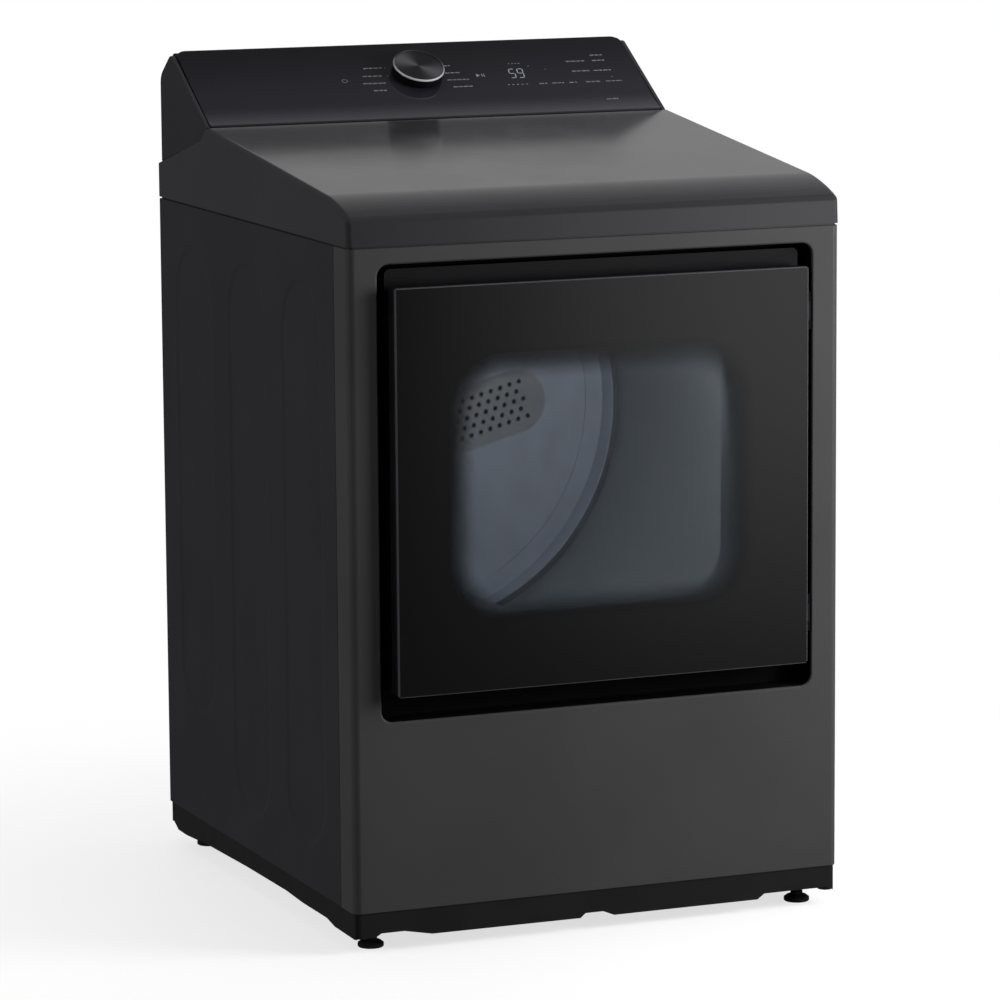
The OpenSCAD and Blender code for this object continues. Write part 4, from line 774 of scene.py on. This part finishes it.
# %% [markdown]
# ## Printing and the lit display
# The legends look as if printed under the glass in grey. They are plain strokes, dots and signs
# without words: every word is a row of small upright bars of uneven height. The two digits are
# seven-segment figures of slanted bars, and glow a little. All of it lies a hair above the pane.

# %% Small printed shapes
PRINT_LIFT = 0.06 * MM
STROKE_PITCH, STROKE_WIDTH = 1.35, 0.85


def print_place(u, v):
    """A place on the flat face, in millimetres, where print begins."""
    return Matrix.Translation((u * MM, v * MM, PRINT_LIFT))


def bar(bm, place, width, height, pieces=1):
    """A flat bar, cut into pieces along its width."""
    bmesh.ops.create_grid(bm, x_segments=pieces, y_segments=1, size=0.5,
                          matrix=place @ Matrix.Diagonal((width * MM, height * MM, 1, 1)))


def dot(bm, u, v, radius):
    bmesh.ops.create_circle(bm, cap_ends=True, segments=12, radius=radius * MM,
                            matrix=print_place(u, v))


def strokes(bm, start, end, v):
    """A word without letters: upright bars, with a gap after five of them and after four more."""
    for number in range(int((end - start) / STROKE_PITCH)):
        tall = 2.3 + 0.5 * math.sin(2.4 * number + v)
        if number % 11 not in (5, 10):
            bar(bm, print_place(start + STROKE_PITCH * number, v), STROKE_WIDTH, tall)


def hoop(bm, u, v, radius, width, gap):
    """A ring sign, with a gap at its top where the power sign has its bar."""
    bars = 28
    for step in range(bars):
        angle = math.tau * (step + 0.5) / bars
        if abs(math.pi - angle) < math.pi - gap:
            place = (print_place(u, v) @ Matrix.Rotation(-angle, 4, "Z")
                     @ Matrix.Translation((0, radius * MM, 0)))
            bar(bm, place, math.tau * radius / bars, width)


# %% The legends
bm = bmesh.new()
left_rows = [(-73, -45.5, 121), (-80, -49, 103), (-85, -51, 86.5), (-74, -55, 70)]
right_rows = [(45, 57, 120.5), (43, 65, 104), (41, 73.5, 88), (45, 76, 72)]
far_rows = [(232, 262, 120.5), (272, 291, 120.5), (233, 261, 97.5), (266, 293, 97.5),
            (174, 187, 72), (194, 212, 72), (220, 231, 72), (245, 269, 72), (276, 301, 72),
            (262, 280, 31), (273, 292, 133)]
for start, end, v in left_rows + right_rows + far_rows:
    strokes(bm, start, end, v)
for u, v in ((171, 113), (194, 104.5), (288, 82), (-42, 121), (-44, 103)):
    dot(bm, u, v, 0.7)
for u in (144, 149, 154, 159):
    bar(bm, print_place(u, 120), 2.6, 0.8)
for u in (127, 134, 141, 148, 155):
    bar(bm, print_place(u, 72), 3, 1.2)
hoop(bm, -110, 94.5, 3.8, 0.6, gap=0.5)
bar(bm, print_place(-110, 97.6), 0.6, 3.4)
for u in (95, 98.2):
    bar(bm, print_place(u, 96), 1.1, 7)
flat_shape(bm, [(86.5 * MM, 92.5 * MM, PRINT_LIFT), (92.2 * MM, 96 * MM, PRINT_LIFT),
                (86.5 * MM, 99.5 * MM, PRINT_LIFT)])
legends = keep_piece("console_print", bm, "cabinet", "legend_ink")

# %% The digits
bm = bmesh.new()
SEGMENTS = {"a": (0, 1, 0), "b": (1, 0.5, 1), "c": (1, -0.5, 1), "d": (0, -1, 0),
            "e": (-1, -0.5, 1), "f": (-1, 0.5, 1), "g": (0, 0, 0)}
DIGIT_V, HALF_WIDE, HALF_TALL, BAR_WIDTH = 97.5, 4, 10, 1.3
lean = Matrix.Identity(4)
lean[0][1] = 0.12
for digit, u in (("acdfg", 141.5), ("abcdfg", 154)):
    for name in digit:
        across, up, upright = SEGMENTS[name]
        place = (print_place(u, DIGIT_V) @ lean
                 @ Matrix.Translation((across * HALF_WIDE * MM, up * HALF_TALL * MM, 0))
                 @ Matrix.Rotation(math.pi / 2 * upright, 4, "Z"))
        bar(bm, place, 8.4 if upright else 6.2, BAR_WIDTH, 2)
digits = keep_piece("display_digits", bm, "cabinet", "digit_glow")

# Both sheets of print follow the hollow of the glass and are laid on the console's face.
for printed in (legends, digits):
    for vertex in printed.data.vertices:
        vertex.co.z += hollow(vertex.co.y)
    printed.data.transform(face_matrix)

# %% [markdown]
# ## The selector knob
# A turned shape is a spin: half of its outline goes once round the axis. The side is glossy black,
# the rim a thin ring with a painted highlight on its lower side, and the face is dark spun metal.
# Its fine rings would throw the light in two opposite wedges; here the wedges are painted
# highlight, whose brightness depends only on the direction from the middle: the distance along one
# slanting axis, divided by the radius and raised to a power, gives a soft wedge.

# %% Spin the knob
def spun(points, steps=96):
    """Turns an outline of radius and height, in millimetres, round the knob's axis."""
    bm = bmesh.new()
    line = [bm.verts.new((radius * MM, 0, height * MM)) for radius, height in points]
    edges = [bm.edges.new(pair) for pair in zip(line, line[1:])]
    bmesh.ops.spin(bm, geom=line + edges, cent=(0, 0, 0), axis=(0, 0, 1), dvec=(0, 0, 0),
                   angle=math.tau, steps=steps, use_merge=True)
    bmesh.ops.transform(bm, verts=bm.verts[:], matrix=knob_matrix)
    return bm


knob_side = spun([(0, 0.5), (33.5, 0.5), (35.3, 0.9), (36, 2), (36, 11.3), (35.6, 11.9),
                  (0, 11.9)])
keep_piece("knob_skirt", knob_side, "knob", "gloss_black", ["knob_body"])
rim = spun([(34.4, 12.1), (36.1, 12.1), (36.5, 12.6), (36.5, 13.6), (36.2, 14.5), (35.7, 14.9),
            (35.1, 14.9), (34.7, 14.5), (34.4, 13.7), (34.4, 12.1)])
face = spun([(0, 12.1), (34.3, 12.1), (34.3, 13.5), (33.6, 13.8), (20, 13.5), (0, 13.4)])


def knob_place(r):
    """Where a point is on the knob: to the right, upwards and out from the middle."""
    centre = knob_matrix.inverted()
    local = r.node("Mapping", {"vector_type": "POINT"}, {
        "Vector": r.place, "Location": centre.translation, "Rotation": centre.to_euler()})
    u, v = local.part("X"), local.part("Y")
    return u, v, (u * u + v * v) ** 0.5 + 0.0001


def rim_chrome():
    r = Recipe("rim_chrome")
    u, v, radius = knob_place(r)
    # Painted highlight: the lower side of the rim is coloured bright, the rest of it dark.
    painted_lower_highlight = ((v * -0.85 - u * 0.2) / radius).fade(-0.5, 0.7)
    lines = r.noise(900, 2.0)
    return r.surface(Base_Color=r.mix(painted_lower_highlight, tone(58, 58, 62), tone(216, 216, 222)), Metallic=0.35,
                     Roughness=lines * 0.1 + 0.18, Normal=r.bump(lines, 0.003 * MM))


def spun_metal():
    r = Recipe("spun_metal")
    u, v, radius = knob_place(r)
    # Painted highlight: two opposite bright wedges in the base colour.
    painted_wedge_highlight = (abs(v * 0.64 - u * 0.77) / radius) ** 5.0
    rings = (radius * 9000).maths("SINE", radius * 9000)
    return r.surface(Base_Color=r.mix(painted_wedge_highlight, tone(30, 30, 33), tone(84, 84, 89)), Metallic=0.3,
                     Roughness=0.5 - painted_wedge_highlight * 0.1, Normal=r.bump(rings, 0.004 * MM))


finishes["rim_chrome"], finishes["spun_metal"] = rim_chrome(), spun_metal()
keep_piece("knob_rim", rim, "knob", "rim_chrome", ["knob_cap"])
keep_piece("knob_face", face, "knob", "spun_metal", ["knob_cap"])

# %% [markdown]
# ## The door pane
# The pane is cut to size, its corners are eased and its front edge is ground to a narrow chamfer.
# That chamfer is the thin bright line that runs round a glass door.

# %% Door pane
bm = bmesh.new()
corners = [(x, door_low.y, z) for x, z in ((door_low.x, door_low.z), (door_high.x, door_low.z),
                                           (door_high.x, door_high.z), (door_low.x, door_high.z))]
flat_shape(bm, corners)
for corner in corners:
    round_corner(bm, corner, 4 * MM, 5)
pull_face(bm, bm.faces[:][0], (0, door_high.y - door_low.y, 0))
round_edges(bm, edges_on(bm, lambda co: near(co, y=door_low.y)), pane_chamfer, 2)
keep_piece("door_pane", bm, "door", "tinted_glass", ["door_glass"])

# %% [markdown]
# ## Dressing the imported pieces
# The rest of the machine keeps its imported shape. Each node already names its finish, so the plain
# stand-in material is swapped for the recipe of the same name.

# %% Swap the materials
dressed = 0
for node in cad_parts.values():
    for material_slot in node.material_slots:
        name = material_slot.material.name.split(".")[0]
        if name in finishes:
            material_slot.material = finishes[name]
            dressed += 1
# Six nodes then get a look of their own: the hinge brackets take the recess's near-black, painted
# shade that hides them in the door's gap; the door's carrier looks like the glass; the mouth, the
# back wall and the grille are painted; and the duct behind the grille is dark steel, painted shade
# that shows through the grille's holes.
own_looks = {"hinge_brackets": "recess_black", "door_carrier": "carrier_black",
             "mouth_shroud": "mouth_grey", "rear_bulkhead": "bulkhead_grey",
             "inlet_grille": "grille_grey", "rear_duct": "dark_steel"}
for node_name, finish in own_looks.items():
    for material_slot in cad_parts[node_name].material_slots:
        material_slot.material = finishes[finish]
print("material slots dressed", dressed, "on", len(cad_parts), "nodes")

# %% [markdown]
# ## Floor, light and reflections
# Black glass shows whatever stands in front of it, so a studio hangs dark cloth all round and
# leaves two pale openings: one low behind the machine on the right, which the cover mirrors as a
# broad band, and one in front on the right, which brightens the upper right of the door. The cloth
# is a sphere that only reflections see. The light itself is soft and plain: the world from all
# sides, four large lamps and the small one inside the drum. The floor glows white for the camera,
# so that only a soft shadow is left, and is dull for all other light, so that it doesn't brighten
# the foot of the machine.

# %% Light paths as shades
def light_path(recipe, *kinds):
    """One where the ray is of any of these kinds."""
    rays = recipe.node("LightPath").socket.node
    found = Shade(recipe, rays.outputs[kinds[0]])
    for kind in kinds[1:]:
        found = found.most(Shade(recipe, rays.outputs[kind]))
    return found


# %% The floor
def studio_floor():
    r = Recipe("studio_floor")
    away = r.node("VectorMath", {"operation": "LENGTH"}, {0: r.place}, output="Value")
    seen = light_path(r, "Is Camera Ray", "Is Glossy Ray", "Is Transmission Ray")
    speck = r.noise(3.0, 2.0)
    white = r.mix(speck, tone(250, 250, 250), tone(252, 252, 252))
    paint = r.node("BsdfPrincipled", {}, {"Base Color": r.mix(seen, tone(120, 120, 120), white),
                                          "Roughness": 0.8, "Specular IOR Level": 0.0})
    glow = r.node("Emission", {}, {"Color": (1, 1, 1, 1), "Strength": seen})
    blend = r.node("MixShader", {}, {0: away.fade(0.45, 1.4, 0.7, 1.0), 1: paint, 2: glow})
    r.node("OutputMaterial", {}, {"Surface": blend})
    return r.material


bm = bmesh.new()
bmesh.ops.create_circle(bm, cap_ends=True, segments=64, radius=9.0)
floor = new_object("studio_floor", bm, studio_floor())
floor.visible_glossy = False
floor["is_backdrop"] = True
print("floor", len(floor.data.vertices), "vertices")

# %% The cloth that reflections see
def cloth():
    r = Recipe("studio_cloth")
    x, y, z = (r.place.part(axis) for axis in "XYZ")
    back = y.fade(0.2, 1.4) * x.fade(-0.1, 0.8) * z.fade(0.7, 1.5) * z.fade(2.1, 4.0, 1.0, 0.0)
    front = (y.fade(-2.6, -1.2, 1.0, 0.0) * x.fade(0.9, 1.9)
             * z.fade(-0.7, 0.5) * z.fade(1.2, 2.4, 1.0, 0.0))
    light = back * 0.44 + front * 0.95 + 0.08
    glow = r.node("Emission", {}, {"Color": (1, 1, 1, 1), "Strength": light})
    r.node("OutputMaterial", {}, {"Surface": glow})
    return r.material


bm = bmesh.new()
bmesh.ops.create_uvsphere(bm, u_segments=64, v_segments=32, radius=4.0)
bmesh.ops.reverse_faces(bm, faces=bm.faces[:])
dome = new_object("studio_cloth", bm, cloth())
dome.visible_camera = dome.visible_diffuse = dome.visible_shadow = dome.visible_transmission = False
dome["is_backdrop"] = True
print("cloth", len(dome.data.vertices), "vertices")

# %% Lamps
def lamp(name, place, aim, width, height, power):
    light = bpy.data.lights.new(name, "AREA")
    light.shape, light.size, light.size_y, light.energy = "RECTANGLE", width, height, power
    made = bpy.data.objects.new(name, light)
    scene.collection.objects.link(made)
    made.location = place
    made.rotation_euler = (Vector(aim) - Vector(place)).to_track_quat("-Z", "Y").to_euler()
    made.visible_glossy = False
    print(name, power, "W")


lamp("key_lamp", (1.6, -1.3, 1.05), (0, -0.3, 0.6), 1.0, 1.0, 64)
lamp("side_lamp", (-4.0, -0.2, 1.8), (0, 0, 0.5), 2.0, 2.0, 68)
lamp("back_lamp", (0.5, 4.0, 2.2), (0, 0, 0.5), 2.0, 2.0, 70)
lamp("top_lamp", (0.3, 0.2, 4.0), (0, 0, 1.0), 2.5, 2.5, 44)
lens_low, lens_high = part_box("drum_lamp")
lamp("drum_light", ((lens_low.x + lens_high.x) / 2, lens_high.y + 5 * MM, lens_low.z - 4 * MM),
      (0.02, 0.33, middle_z - 0.02), 0.09, 0.03, 3.7)

# %% The world
world = bpy.data.worlds.new("studio_world")
scene.world = world
world.use_nodes = True
world.node_tree.nodes.clear()
# The air has no object to take a place from, so its recipe starts with its tree alone.
air = Recipe.__new__(Recipe)
air.tree = world.node_tree
pale = light_path(air, "Is Camera Ray", "Is Glossy Ray", "Is Transmission Ray")
light = pale.fade(0.0, 1.0, 0.16, 1.0)
sky = air.node("Background", {}, {"Color": (1, 1, 1, 1), "Strength": light})
air.node("OutputWorld", {}, {"Surface": sky})
scene.view_settings.view_transform = "Standard"
print("world ready")

# %% [markdown]
# ## The last check
# The new pieces are meant to keep the size of the machine, so how much the box has grown over the
# imported one is printed at the end.

# %% Compare the boxes
new_low, new_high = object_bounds()
growth = zip(new_high - new_low, cad_high - cad_low)
print("growth in mm", [round(1000 * (new - old), 2) for new, old in growth])
